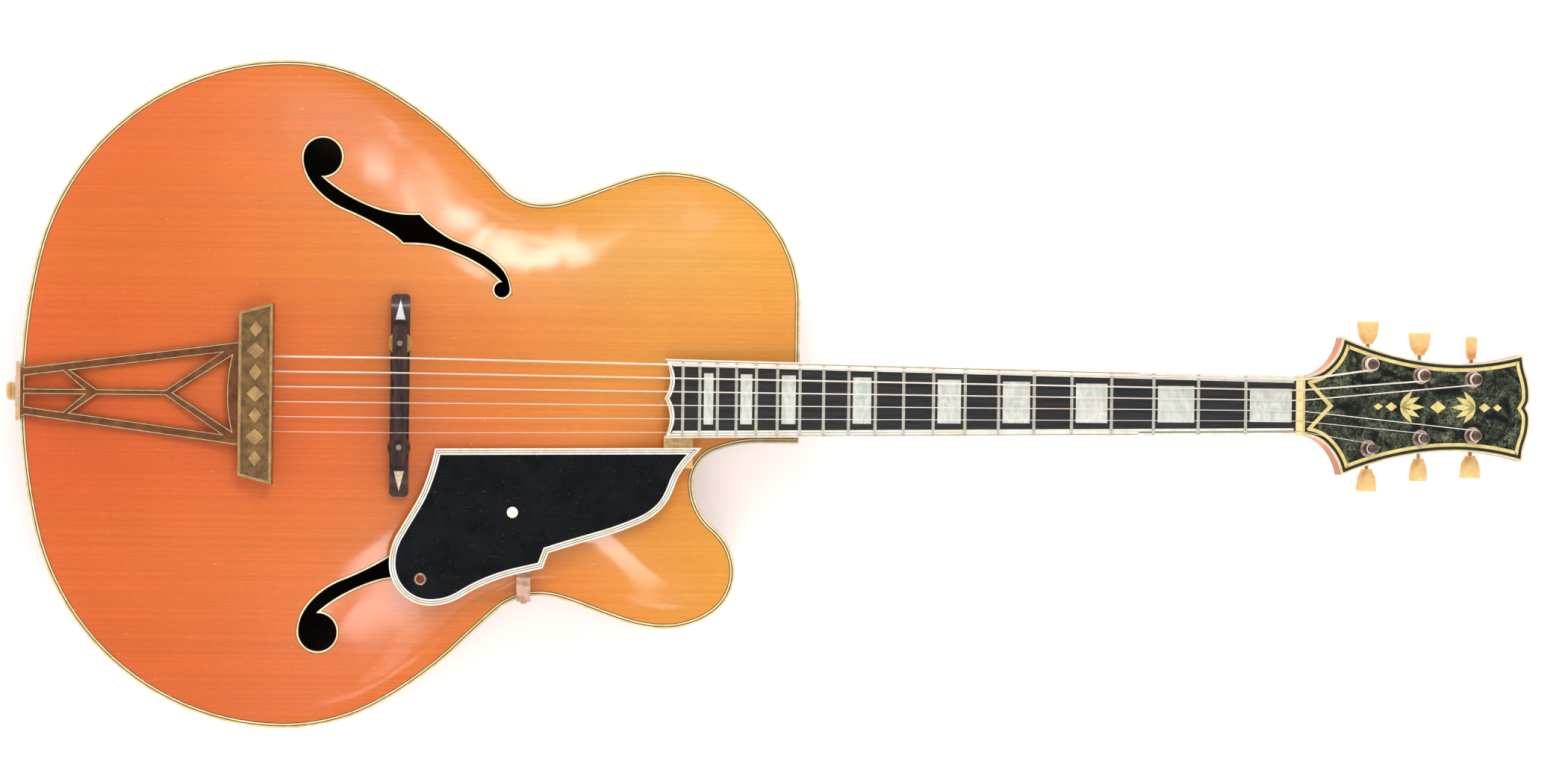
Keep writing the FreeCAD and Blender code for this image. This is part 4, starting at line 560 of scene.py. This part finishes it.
def tail_bend():
    """Highest point at the back of the tailpiece, where it bends down over the edge."""
    spots = [v.co for v in NODES["tailpiece_frame"].data.vertices]
    back = min(spot.x for spot in spots)
    rise = max(spot.z for spot in spots if spot.x < back + 1.0 * MM)
    return Vector((back, 0.0, rise))


PALE_MAPLE = srgb(224, 138, 66)
WHITE_TINTS = [srgb(192, 202, 196), srgb(212, 214, 204), srgb(228, 228, 218), srgb(208, 196, 184)]
BURNT_TINTS = [srgb(150, 96, 58), srgb(222, 186, 136), srgb(242, 222, 186), srgb(186, 124, 74)]

# Finishes of the material slots
FINISHES = {
    "spruce_top": spruce_top(),
    "amber_maple": flamed_maple("amber_maple", (95, 95, 7), PALE_MAPLE, srgb(188, 100, 44)),
    "neck_maple": flamed_maple(
        "neck_maple", (110, 16, 16), srgb(226, 134, 60), srgb(182, 92, 36), coat=0.2),
    "inner_wood": plain_wood("inner_wood", srgb(216, 180, 128), srgb(178, 136, 88), (14, 260, 260), coat=0.0),
    "tan_block": plain_wood("tan_block", srgb(232, 198, 132), srgb(204, 160, 96), (420, 420, 40), coat=0.3),
    "rosewood": dark_wood(
        "rosewood", (520, 26, 300), srgb(80, 44, 35), srgb(34, 17, 16), rough=0.3, coat=0.3),
    "ebony": dark_wood("ebony", (22, 620, 300), srgb(44, 42, 42), srgb(19, 18, 19), rough=0.36, coat=0.12),
    "cream_binding": celluloid("cream_binding", srgb(243, 228, 178), srgb(222, 196, 130)),
    "white_plastic": celluloid("white_plastic", srgb(250, 247, 238), srgb(232, 222, 196)),
    "black_plastic": black_plastic(),
    "amber_plastic": amber_plastic(),
    "dark_pearloid": dark_pearloid(),
    "pearl": pearl("pearl", WHITE_TINTS, 70.0),
    "bone": celluloid("bone", srgb(248, 228, 168), srgb(232, 202, 130), 220.0, rough=0.34, coat=0.2),
    "bright_brass": metal("bright_brass", srgb(238, 200, 112), srgb(172, 118, 56), 0.55, rough=0.24),
    "nickel": metal("nickel", srgb(222, 210, 196), srgb(150, 118, 92), 0.6, rough=0.22),
    "plain_steel": wound_metal(
        "plain_steel", srgb(255, 250, 246), srgb(248, 238, 230), wraps=300.0, metallic=0.2),
    "bronze_wound": wound_metal(
        "bronze_wound", srgb(255, 246, 234), srgb(252, 224, 202), wraps=2600.0, metallic=0.3),
}

# Finishes of single nodes and of the pieces made here
BACK_MAPLE = flamed_maple("back_maple", (75, 12, 12), PALE_MAPLE, srgb(182, 96, 42), matched=True)
GOLD_BRASS = patina_brass(
    "gold_brass", srgb(216, 172, 112), srgb(168, 132, 86), srgb(250, 220, 150), metallic=0.45, scale=130.0)
DULL_BRASS = patina_brass(
    "dull_brass", srgb(166, 124, 76), srgb(112, 90, 58), srgb(240, 202, 136), metallic=0.5, scale=170.0)
OLD_NICKEL = metal("old_nickel", srgb(226, 196, 182), srgb(128, 96, 82), 0.7, rough=0.2, scale=400.0)
POST_NICKEL = metal("post_nickel", srgb(160, 134, 120), srgb(92, 72, 62), 0.85, rough=0.26, scale=400.0)
FRET_NICKEL = metal(
    "fret_nickel", srgb(222, 218, 204), srgb(176, 166, 150), 0.5, rough=0.24, scale=300.0, metallic=0.5)
PIN_PLASTIC = celluloid(
    "pin_plastic", srgb(254, 220, 158), srgb(244, 194, 126), 160.0, rough=0.34, coat=0.3)
DARK_NICKEL = metal("dark_nickel", srgb(116, 98, 86), srgb(54, 42, 36), 0.8, rough=0.34)
COPPER_NICKEL = metal(
    "copper_nickel", srgb(222, 182, 162), srgb(176, 124, 102), 0.8, rough=0.3, scale=160.0)
BRIDGE_PEARL = pearl("bridge_pearl", WHITE_TINTS, 150.0, BURNT_TINTS)
DARK_LINE = celluloid("dark_line", srgb(44, 34, 22), srgb(84, 66, 32), 200.0, rough=0.34, coat=0.2)
GREY_LINE = celluloid("grey_line", srgb(138, 134, 128), srgb(112, 106, 98), 200.0, rough=0.34, coat=0.2)
YELLOW_LINE = celluloid("yellow_line", srgb(238, 222, 148), srgb(220, 196, 112), 160.0, coat=0.3)
BLACK_LINE = celluloid("black_line", srgb(20, 20, 20), srgb(40, 38, 34), 200.0, coat=0.3)
FRAME_BRASS = patina_brass(
    "frame_brass", srgb(146, 90, 50), srgb(104, 60, 34), srgb(236, 196, 128), metallic=0.4, scale=90.0,
    bend=tail_bend())
BRIGHT_LINE = patina_brass(
    "bright_line", srgb(246, 218, 160), srgb(206, 160, 98), srgb(255, 238, 190), metallic=0.3, scale=300.0)


def dress_nodes():
    """Give each CAD node the finish of its slot, or one of its own."""
    own = {
        "back_plate": BACK_MAPLE,
        "bridge_inlays": BRIDGE_PEARL,
        "end_pin": PIN_PLASTIC,
        "fingerboard_binding": FINISHES["white_plastic"],
        "frets": FRET_NICKEL,
        "pickguard_bracket": COPPER_NICKEL,
        "tailpiece_crossbar": DULL_BRASS,
        "tailpiece_frame": FRAME_BRASS,
        "treble_thumbwheel": DARK_NICKEL,
        "tuner_bushings": OLD_NICKEL,
    }
    own.update({"tuner_post_" + str(k): POST_NICKEL for k in range(1, 7)})
    for part in frame["record"]["subparts"]:
        mesh = NODES[part["node"]].data
        mesh.materials.clear()
        mesh.materials.append(own.get(part["node"]) or FINISHES[part["material_slot"]])


# Meshes


def piece(name, points, faces, finish, body="guitar", smooth=False):
    """A new mesh piece with outward faces, riding on a body unless it is left free."""
    mesh = bpy.data.meshes.new(name)
    mesh.from_pydata(points, [], faces)
    work = bmesh.new()
    work.from_mesh(mesh)
    bmesh.ops.recalc_face_normals(work, faces=work.faces)
    work.to_mesh(mesh)
    work.free()
    mesh.materials.append(finish)
    if smooth:
        mesh.shade_smooth()
    made = bpy.data.objects.new(name, mesh)
    bpy.context.scene.collection.objects.link(made)
    if body:
        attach(made, body)
    return made


def top_axis(node):
    """Direction that the upper face of a node looks in."""
    total = Vector()
    for face in NODES[node].data.polygons:
        if face.normal.z > UPPER_FACES:
            total += face.normal * face.area
    return total.normalized()


def rim_loops(node, axis, least=GENTLE_FACES):
    """Closed loops round the faces of a node that look along an axis, longest first, metal on their left."""
    mesh = NODES[node].data
    index = {}
    names = [index.setdefault(tuple(round(c, 6) for c in v.co), v.index) for v in mesh.vertices]
    edges = set()
    for face in mesh.polygons:
        if face.normal.dot(axis) > least:
            ring = [names[i] for i in face.vertices]
            edges.update(zip(ring, ring[1:] + ring[:1]))
    follow = {a: b for a, b in sorted(edges) if (b, a) not in edges}
    loops = []
    while follow:
        spot = next(iter(follow))
        loop = []
        while spot in follow:
            loop.append(mesh.vertices[spot].co.copy())
            spot = follow.pop(spot)
        loops.append(loop)
    return sorted(loops, key=loop_length, reverse=True)


def loop_length(loop):
    """Length of a closed loop."""
    return sum((a - b).length for a, b in zip(loop, loop[1:] + loop[:1]))


def thinned(loop):
    """A loop without points that nearly coincide."""
    kept = [loop[0]]
    for spot in loop[1:]:
        if (spot - kept[-1]).length > CLOSE_POINTS:
            kept.append(spot)
    return kept


def open_run(loop, keep):
    """The points of a loop that are kept, in order, starting after the gap."""
    flags = [keep(spot) for spot in loop]
    if all(flags):
        return loop, True
    start = next(i for i, flag in enumerate(flags) if flag and not flags[i - 1])
    shifted = loop[start:] + loop[:start]
    return [spot for spot in shifted if keep(spot)], False


def inset(run, closed, axis, distance):
    """The points of a run moved to its left by a distance, with mitred corners."""
    moved = []
    for i, spot in enumerate(run):
        before = run[i - 1] if i or closed else None
        after = run[(i + 1) % len(run)] if i + 1 < len(run) or closed else None
        ways = []
        if before is not None:
            ways.append(spot - before)
        if after is not None:
            ways.append(after - spot)
        sides = [axis.cross(way).normalized() for way in ways]
        middle = sum(sides, Vector()).normalized()
        moved.append(spot + middle * (distance / max(MITRE_LIMIT, middle.dot(sides[0]))))
    return moved


def ground_of(*nodes):
    """Search tree over the faces of some nodes."""
    points, faces = [], []
    for node in nodes:
        mesh = NODES[node].data
        start = len(points)
        points += [v.co.copy() for v in mesh.vertices]
        faces += [tuple(start + i for i in face.vertices) for face in mesh.polygons]
    return BVHTree.FromPolygons(points, faces)


def on_ground(spot, axis, ground):
    """The point of a surface under a spot, or the spot itself."""
    hit = ground.ray_cast(spot + axis * RAY_START, -axis, RAY_REACH)[0] if ground else None
    return hit or spot


def ring_faces(start, count, sides, closed):
    """Faces of a tube of rings, with ends unless it is closed on itself."""
    faces = []
    for i in range(count if closed else count - 1):
        a, b = start + sides * i, start + sides * ((i + 1) % count)
        faces += [(a + k, a + (k + 1) % sides, b + (k + 1) % sides, b + k) for k in range(sides)]
    if not closed:
        end = start + sides * (count - 1)
        faces += [tuple(range(start, start + sides)), tuple(range(end, end + sides))]
    return faces


def inlaid(name, runs, near, far, axis, finish, slot, ground=None):
    """A thin line let into a surface, between two distances to the left of each run."""
    points, faces = [], []
    for run, closed in runs:
        run = thinned(run)
        start = len(points)
        for a, b in zip(inset(run, closed, axis, near), inset(run, closed, axis, far)):
            a, b = on_ground(a, axis, ground), on_ground(b, axis, ground)
            high, low = axis * LINE_LIFT, axis * -LINE_DEPTH
            points += [a + high, b + high, b + low, a + low]
        faces += ring_faces(start, len(run), 4, closed)
    return piece(name, points, faces, finish)


def turned(name, profile, place, way, finish, closed):
    """A turned piece from a profile of places along an axis and radii, in millimetres."""
    side = ACROSS.cross(way).normalized()
    other = way.cross(side)
    sides = 2 * STRING_SIDES
    points = []
    for along, radius in profile:
        for k in range(sides):
            turn = 2.0 * math.pi * k / sides
            ring = side * math.cos(turn) + other * math.sin(turn)
            points.append(place + (way * along + ring * radius) * MM)
    piece(name, points, ring_faces(0, len(profile), sides, closed), finish, smooth=True)


# Lines let into the body, fingerboard, headstock, pickguard and tailpiece


def body_lines():
    """Dark and cream lines inside the bindings of the top and the back."""
    def clear_of_neck(spot):
        """Whether a place on the edge is beside the neck."""
        return not (spot.x > NECK_START and abs(spot.y) < NECK_HALF)

    back = rim_loops("back_binding", -UP)[0]
    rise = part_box("top_binding")[1][2]
    top = [Vector((spot.x, spot.y, rise)) for spot in reversed(back)]
    run = open_run(top, clear_of_neck)
    ground = ground_of("top_binding", "top_plate")
    plies = [("top_line_outer", 1.35, 2.05, DARK_LINE, "black_plastic"),
             ("top_line_cream", 2.05, 3.2, FINISHES["cream_binding"], "cream_binding"),
             ("top_line_inner", 3.2, 3.75, DARK_LINE, "black_plastic")]
    for name, near, far, finish, slot in plies:
        inlaid(name, [run], near * MM, far * MM, UP, finish, slot, ground)
    under = ground_of("back_binding", "back_plate")
    for name, near, far, finish, slot in plies[::2]:
        inlaid(name.replace("top", "back"), [(back, True)], near * MM, far * MM, -UP, finish, slot, under)


def f_hole_lines():
    """A thin dark line round the binding of each f-hole."""
    axis = top_axis("f_hole_bindings")
    runs = [(loop, True) for loop in rim_loops("f_hole_bindings", axis, ROUNDED_FACES)]
    outer = [run for run in runs if loop_turn(run[0]) > 0]
    inlaid("f_hole_lines", outer, -0.45 * MM, 0.0, UP, DARK_LINE, "black_plastic", ground_of("top_plate"))


def loop_turn(loop):
    """Area inside a loop seen from above, positive where it runs anticlockwise."""
    return sum(a.x * b.y - a.y * b.x for a, b in zip(loop, loop[1:] + loop[:1])) / 2.0


def board_lines():
    """Plies of the fingerboard's binding along its sides and scalloped end."""
    axis = top_axis("fingerboard")
    loop = rim_loops("fingerboard", axis)[0]
    nut_x = max(spot.x for spot in loop)
    whole = open_run(loop, lambda spot: spot.x < nut_x - 1.0 * MM)
    ground = ground_of("fingerboard", "fingerboard_binding")
    slots = {"dark": (DARK_LINE, "black_plastic"), "white": (FINISHES["white_plastic"], "white_plastic")}
    for name, near, far, kind in (("outer", -1.0, -0.65, "dark"), ("middle", -0.65, 0.9, "white")):
        inlaid("board_line_" + name, [whole], near * MM, far * MM, axis, *slots[kind], ground)
    runs = []
    for side in (-1, 1):
        tail_corner = max(loop, key=lambda spot: side * spot.y)
        nut_corner = max(loop, key=lambda spot: spot.x + 0.1 * side * spot.y)
        run = [tail_corner.lerp(nut_corner, share) for share in (0.008, 0.25, 0.5, 0.75, 0.997)]
        runs.append((run[::-side], False))
    for name, near, far, kind in (("inner", 0.9, 1.25, "dark"), ("inmost", 1.25, 2.9, "white")):
        inlaid("board_line_" + name, runs, near * MM, far * MM, axis, *slots[kind], ground)


def head_lines():
    """Black and yellow bands inside the headstock's binding, open at the nut."""
    axis = top_axis("headstock_overlay")
    loop = rim_loops("headstock_overlay", axis)[0]
    to_head = HEAD_FRAME.inverted()
    run = open_run(loop, lambda spot: (to_head @ spot).x > 3.0 * MM)
    inlaid("head_band_black", [run], -0.6 * MM, 1.7 * MM, axis, BLACK_LINE, "black_plastic")
    inlaid("head_band_yellow", [run], 1.7 * MM, 4.2 * MM, axis, YELLOW_LINE, "cream_binding")


def guard_lines():
    """Dark lines between the plies of the pickguard's binding, and an eyelet in its hole."""
    axis = top_axis("pickguard_binding")
    loop = rim_loops("pickguard_binding", axis)[0]
    for name, near in (("outer", 1.3), ("inner", 2.8)):
        far = near + GUARD_LINE
        inlaid("guard_line_" + name, [(loop, True)], near * MM, far * MM, axis, GREY_LINE, "black_plastic")
    hole = rim_loops("pickguard", axis)[1]
    middle = sum(hole, Vector()) / len(hole)
    profile = [(0.05, 4.5), (0.3, 4.3), (0.25, 3.7), (-0.9, 2.9), (-2.0, 2.6), (-2.1, 2.45), (-0.9, 2.6),
               (-0.1, 3.4)]
    turned("guard_eyelet", profile, middle, axis, OLD_NICKEL, True)


def tail_lines():
    """Bright lines along every edge and window of the tailpiece."""
    axis = top_axis("tailpiece_frame")
    loops = [loop for loop in rim_loops("tailpiece_frame", axis) if loop_length(loop) > WINDOW_LEAST]
    runs = [(loop, True) for loop in loops]
    inlaid("tail_lines", runs, 0.3 * MM, 0.7 * MM, axis, BRIGHT_LINE, "bright_brass")
    rim = rim_loops("tailpiece_crossbar", top_axis("tailpiece_crossbar"), FLAT_FACES)[0]
    inlaid("crossbar_rim", [(rim, True)], 0.35 * MM, 1.7 * MM, axis, GOLD_BRASS, "aged_brass")


# Ornament of plain lozenges and leaves on the headstock and the crossbar


def lozenge(x, y, length, width):
    """Four corners of a lozenge."""
    return [(x - length / 2, y), (x, y - width / 2), (x + length / 2, y), (x, y + width / 2)]


def leaf(x, y, length, width, degrees):
    """Outline of a pointed leaf that grows from a place at an angle."""
    turn = math.radians(degrees)
    steps = 10
    shares = [i / steps for i in range(steps + 1)]
    side = [(length * share, width / 2 * math.sin(math.pi * share ** 0.8)) for share in shares]
    outline = side + [(a, -b) for a, b in side[-2:0:-1]]
    return [(x + a * math.cos(turn) - b * math.sin(turn), y + a * math.sin(turn) + b * math.cos(turn))
            for a, b in outline]


def plaques(name, outlines, place, low, high, finish, body="guitar"):
    """Flat pieces of given outlines in millimetres, standing on a face."""
    points, faces = [], []
    for outline in outlines:
        start, count = len(points), len(outline)
        for level in (low, high):
            points += [place @ Vector((x * MM, y * MM, level)) for x, y in outline]
        faces += ring_faces(start, 2, count, False)
    return piece(name, points, faces, finish, body)


def head_ornament():
    """Chevron at the nut, a column of lozenges and two fans of leaves."""
    chevron = [(3.0, -17.0), (6.2, -17.6), (23.5, 0.0), (6.2, 17.6), (3.0, 17.0), (19.5, 0.0)]
    column = [lozenge(x, 0.0, length, width) for x, length, width in
              ((58, 7, 5), (68, 9, 6.5), (104, 12, 9), (140, 9, 6.5), (150, 7, 5))]
    fans = [leaf(75 + 58 * end, 0.0, 19.0 - 2.2 * abs(k), 4.4, 180 * end + 26 * k)
            for end in (0, 1) for k in (-2, -1, 0, 1, 2)]
    face, top = HEAD_FACE - 0.2 * MM, HEAD_FACE + 0.12 * MM
    for name, outlines in (("head_chevron", [chevron]), ("head_lozenges", column), ("head_leaves", fans)):
        plaques(name, outlines, HEAD_FRAME, face, top, YELLOW_LINE)


def crossbar_ornament():
    """A row of raised lozenges in the crossbar's recess."""
    axis = top_axis("tailpiece_crossbar")
    floor_edge = rim_loops("tailpiece_crossbar", axis, FLAT_FACES)[2]
    middle = sum(floor_edge, Vector()) / len(floor_edge)
    ahead = ACROSS.cross(axis)
    place = Matrix.Translation(middle) @ Matrix((ahead, ACROSS, axis)).transposed().to_4x4()
    row = [lozenge(0.0, 15.5 * k, 9.0 if k % 2 else 13.0, 11.5) for k in (-3, -2, -1, 0, 1, 2, 3)]
    plaques("crossbar_lozenges", row, place, -0.2 * MM, 0.55 * MM, GOLD_BRASS)


# Strings


def sweep(name, path, radius, finish, body=None):
    """A round tube through points, with mitred rings at the inner ones."""
    points = []
    side = None
    for i, spot in enumerate(path):
        before = (spot - path[i - 1]).normalized() if i else (path[1] - spot).normalized()
        after = (path[i + 1] - spot).normalized() if i + 1 < len(path) else before
        way = (before + after).normalized()
        side = side or UP.cross(way)
        side = (side - way * side.dot(way)).normalized()
        other = way.cross(side)
        for k in range(STRING_SIDES):
            turn = 2.0 * math.pi * k / STRING_SIDES
            points.append(spot + (side * math.cos(turn) + other * math.sin(turn)) * radius)
    faces = ring_faces(0, len(path), STRING_SIDES, False)
    return piece(name, points, faces, finish, body, smooth=True)


def string_corners(k):
    """Where a string leaves the crossbar, crosses the saddle and crosses the nut, read from its solid."""
    spots = [v.co for v in NODES["string_" + str(k + 1)].data.vertices]
    radius = STRING_DIAMETERS[k] / 2.0
    tail_x = min(spot.x for spot in spots)
    barrel = [spot for spot in spots if spot.x < tail_x + 1.0 * MM]
    tail = sum(barrel, Vector()) / len(barrel)
    peak = max(spots, key=lambda spot: spot.z)
    saddle = peak - UP * radius
    nut_low, nut_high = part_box("nut")
    nut_x = (nut_low[0] + nut_high[0]) / 2.0
    near = [spot for spot in spots if abs(spot.x - nut_x) < 1.5 * MM]
    nut = sum(near, Vector()) / len(near)
    return tail, saddle, nut


def post_place(k):
    """A tuner post in the headstock's frame, and the side that it is on."""
    side = -1 if k < 3 else 1
    row = k if k < 3 else 5 - k
    return Vector((FIRST_POST_X + row * POST_PITCH, side * POST_ROWS[row], 0.0)), side


def winding(k, nut):
    """Points of the turns of a string on its post, from the top down."""
    post, side = post_place(k)
    radius = POST_RADIUS + TURN_CLEARANCE + STRING_DIAMETERS[k] / 2.0
    pitch = STRING_DIAMETERS[k] + TURN_GAP
    start = HEAD_FRAME.inverted() @ nut
    reach = math.hypot(post.x - start.x, post.y - start.y)
    lead = math.atan2(post.y - start.y, post.x - start.x) * side + math.asin(radius / reach)
    turns = []
    for step in range(TURNS * TURN_STEPS + 1):
        angle = 2.0 * math.pi * step / TURN_STEPS - math.pi / 2.0 + lead
        drop = pitch * step / TURN_STEPS
        turns.append(HEAD_FRAME @ Vector((
            post.x + radius * math.cos(angle), post.y + side * radius * math.sin(angle), TURNS_TOP - drop)))
    return turns


def ball_end(name, tail, way):
    """The small grooved barrel at a string's tail end."""
    profile = [(-4.4, 0.7), (-4.3, 1.7), (-4.0, 2.0), (-3.0, 2.0), (-2.6, 1.6), (-1.6, 1.6), (-1.2, 2.0),
               (-0.2, 2.0), (0.1, 1.7), (0.2, 0.7)]
    turned(name, profile, tail, way, FINISHES["bright_brass"], False)


def strings():
    """Each string as the stretch behind the bridge, the speaking length and the turns on its post."""
    for k in range(6):
        name = "string_" + str(k + 1)
        slot = "plain_steel" if k < 2 else "bronze_wound"
        finish, radius = FINISHES[slot], STRING_DIAMETERS[k] / 2.0
        tail, saddle, nut = string_corners(k)
        behind = sweep(name + "_tail", [tail, saddle], radius, finish)
        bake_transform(behind)
        speaking = sweep(name + "_speaking", [saddle, nut], radius, finish)
        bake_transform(speaking)
        turns = sweep(name + "_turns", [nut] + winding(k, nut), radius, finish, "guitar")
        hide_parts(name)
        ball_end(name + "_ball", tail, (saddle - tail).normalized())


# Stage, light and camera


# The floor's half width, its two near whites and the glow that only shows to the camera and in mirrors.
FLOOR_HALF = 40.0
FLOOR_WHITES = ((0.93, 0.93, 0.93, 1), (0.95, 0.95, 0.95, 1))
FLOOR_GLOW = 0.35

# The studio's walls: heights and their greys, and the strength on surfaces and where it is seen.
SKY_STOPS = ((0.25, 1.0), (0.8, 0.42))
SKY_LIGHT = 1.4
SKY_SEEN = 1.0


def floor():
    """A wide pale floor under the guitar, white to the camera apart from the shadow."""
    level = cad_box[0][2]
    mesh = bpy.data.meshes.new("floor")
    corners = [(x * FLOOR_HALF, y * FLOOR_HALF, level) for x, y in ((-1, -1), (1, -1), (1, 1), (-1, 1))]
    mesh.from_pydata(corners, [], [(0, 1, 2, 3)])
    made = bpy.data.objects.new("floor", mesh)
    bpy.context.scene.collection.objects.link(made)
    f = Finish("floor")
    paper = f.blend(f.noise(f.place, scale=3.0), *FLOOR_WHITES)
    mesh.materials.append(f.done(paper, 0.9))
    f.shader.inputs["Specular IOR Level"].default_value = 0.1
    f.shader.inputs["Emission Color"].default_value = (1, 1, 1, 1)
    ray = f.node("ShaderNodeLightPath").outputs
    mirrored = f.calc("MAXIMUM", ray["Is Glossy Ray"], ray["Is Transmission Ray"])
    seen = f.calc("MAXIMUM", ray["Is Camera Ray"], mirrored)
    f.feed(f.shader.inputs["Emission Strength"], f.times(seen, FLOOR_GLOW))


def world():
    """Soft studio light from all round: white at the horizon and grey overhead."""
    made = bpy.data.worlds.new("studio")
    bpy.context.scene.world = made
    made.use_nodes = True
    tree = made.node_tree
    nodes, links = tree.nodes, tree.links
    back = nodes["Background"]
    height = nodes.new("ShaderNodeSeparateXYZ")
    links.new(nodes.new("ShaderNodeTexCoord").outputs["Generated"], height.inputs[0])
    bar = nodes.new("ShaderNodeValToRGB")
    links.new(height.outputs["Z"], bar.inputs[0])
    for mark, (spot, grey) in zip(bar.color_ramp.elements, SKY_STOPS):
        mark.position = spot
        mark.color = (grey, grey, grey, 1)
    links.new(bar.outputs[0], back.inputs["Color"])
    ray = nodes.new("ShaderNodeLightPath").outputs
    seen = ray["Is Camera Ray"]
    for kind in ("Is Glossy Ray", "Is Transmission Ray"):
        either = nodes.new("ShaderNodeMath")
        either.operation = "MAXIMUM"
        links.new(seen, either.inputs[0])
        links.new(ray[kind], either.inputs[1])
        seen = either.outputs[0]
    level = nodes.new("ShaderNodeMapRange")
    links.new(seen, level.inputs["Value"])
    level.inputs["To Min"].default_value = SKY_LIGHT
    level.inputs["To Max"].default_value = SKY_SEEN
    links.new(level.outputs[0], back.inputs["Strength"])


# Soft boxes: name, place, aim, width, depth, power, and whether glossy surfaces show them. The windows
# together draw the bands of light on the arch of the top.
LAMPS = [
    ("waist_window", (-0.02, 1.3, 2.1), (-0.02, 0.1, 0.12), 0.74, 0.12, 5.4, True),
    ("tip_window", (-0.35, 1.168, 2.1), (-0.35, 0.1, 0.12), 0.12, 0.13, 0.76, True),
    ("corner_window", (0.385, 1.205, 2.1), (0.385, 0.1, 0.12), 0.11, 0.10, 0.75, True),
    ("bass_window", (0.465, 1.06, 2.1), (0.465, 0.1, 0.12), 0.08, 0.18, 1.05, True),
    ("eye_window", (0.345, 0.90, 2.1), (0.345, 0.1, 0.12), 0.17, 0.05, 0.5, True),
    ("tail_window", (0.155, 0.95, 2.1), (0.155, 0.1, 0.12), 0.13, 0.05, 0.36, True),
    ("treble_window", (0.20, -0.91, 2.1), (0.20, -0.1, 0.12), 0.36, 0.14, 1.3, True),
    ("horn_window", (-0.12, -0.75, 2.1), (-0.7, -0.22, 0.12), 0.4, 0.16, 2.0, True),
    ("bass_key", (0.2, 1.3, 2.6), (0.0, 0.0, 0.1), 1.5, 1.5, 11.8, False),
    ("treble_fill", (0.1, -1.4, 2.4), (0.0, 0.0, 0.1), 1.5, 1.5, 8.8, False),
]


def lamp(name, place, aim, width, depth, power, mirrored):
    """A soft box that shines on a point and may show in glossy surfaces."""
    data = bpy.data.lights.new(name, "AREA")
    data.shape = "RECTANGLE"
    data.size = width
    data.size_y = depth
    data.energy = power
    made = bpy.data.objects.new(name, data)
    made.location = place
    made.rotation_euler = (Vector(aim) - Vector(place)).to_track_quat("-Z", "Y").to_euler()
    made.visible_camera = False
    made.visible_glossy = mirrored
    bpy.context.scene.collection.objects.link(made)


def camera():
    """Camera above the guitar, with the width of the view at the height of its top."""
    data = bpy.data.cameras.new("camera")
    data.sensor_width = SENSOR
    data.lens = SENSOR * CAMERA_HEIGHT / VIEW_WIDTH
    made = bpy.data.objects.new("camera", data)
    made.location = Vector(CAMERA_AIM) + UP * CAMERA_HEIGHT
    made.rotation_euler = (0.0, 0.0, CAMERA_TURN)
    bpy.context.scene.collection.objects.link(made)
    bpy.context.scene.camera = made


def main():
    """Dress the frame, add the pieces that only the looks need, and set the stage."""
    dress_nodes()
    body_lines()
    f_hole_lines()
    board_lines()
    head_lines()
    guard_lines()
    tail_lines()
    head_ornament()
    crossbar_ornament()
    strings()
    floor()
    world()
    for row in LAMPS:
        lamp(*row)
    camera()
    bpy.context.scene.view_settings.view_transform = "Standard"


main()
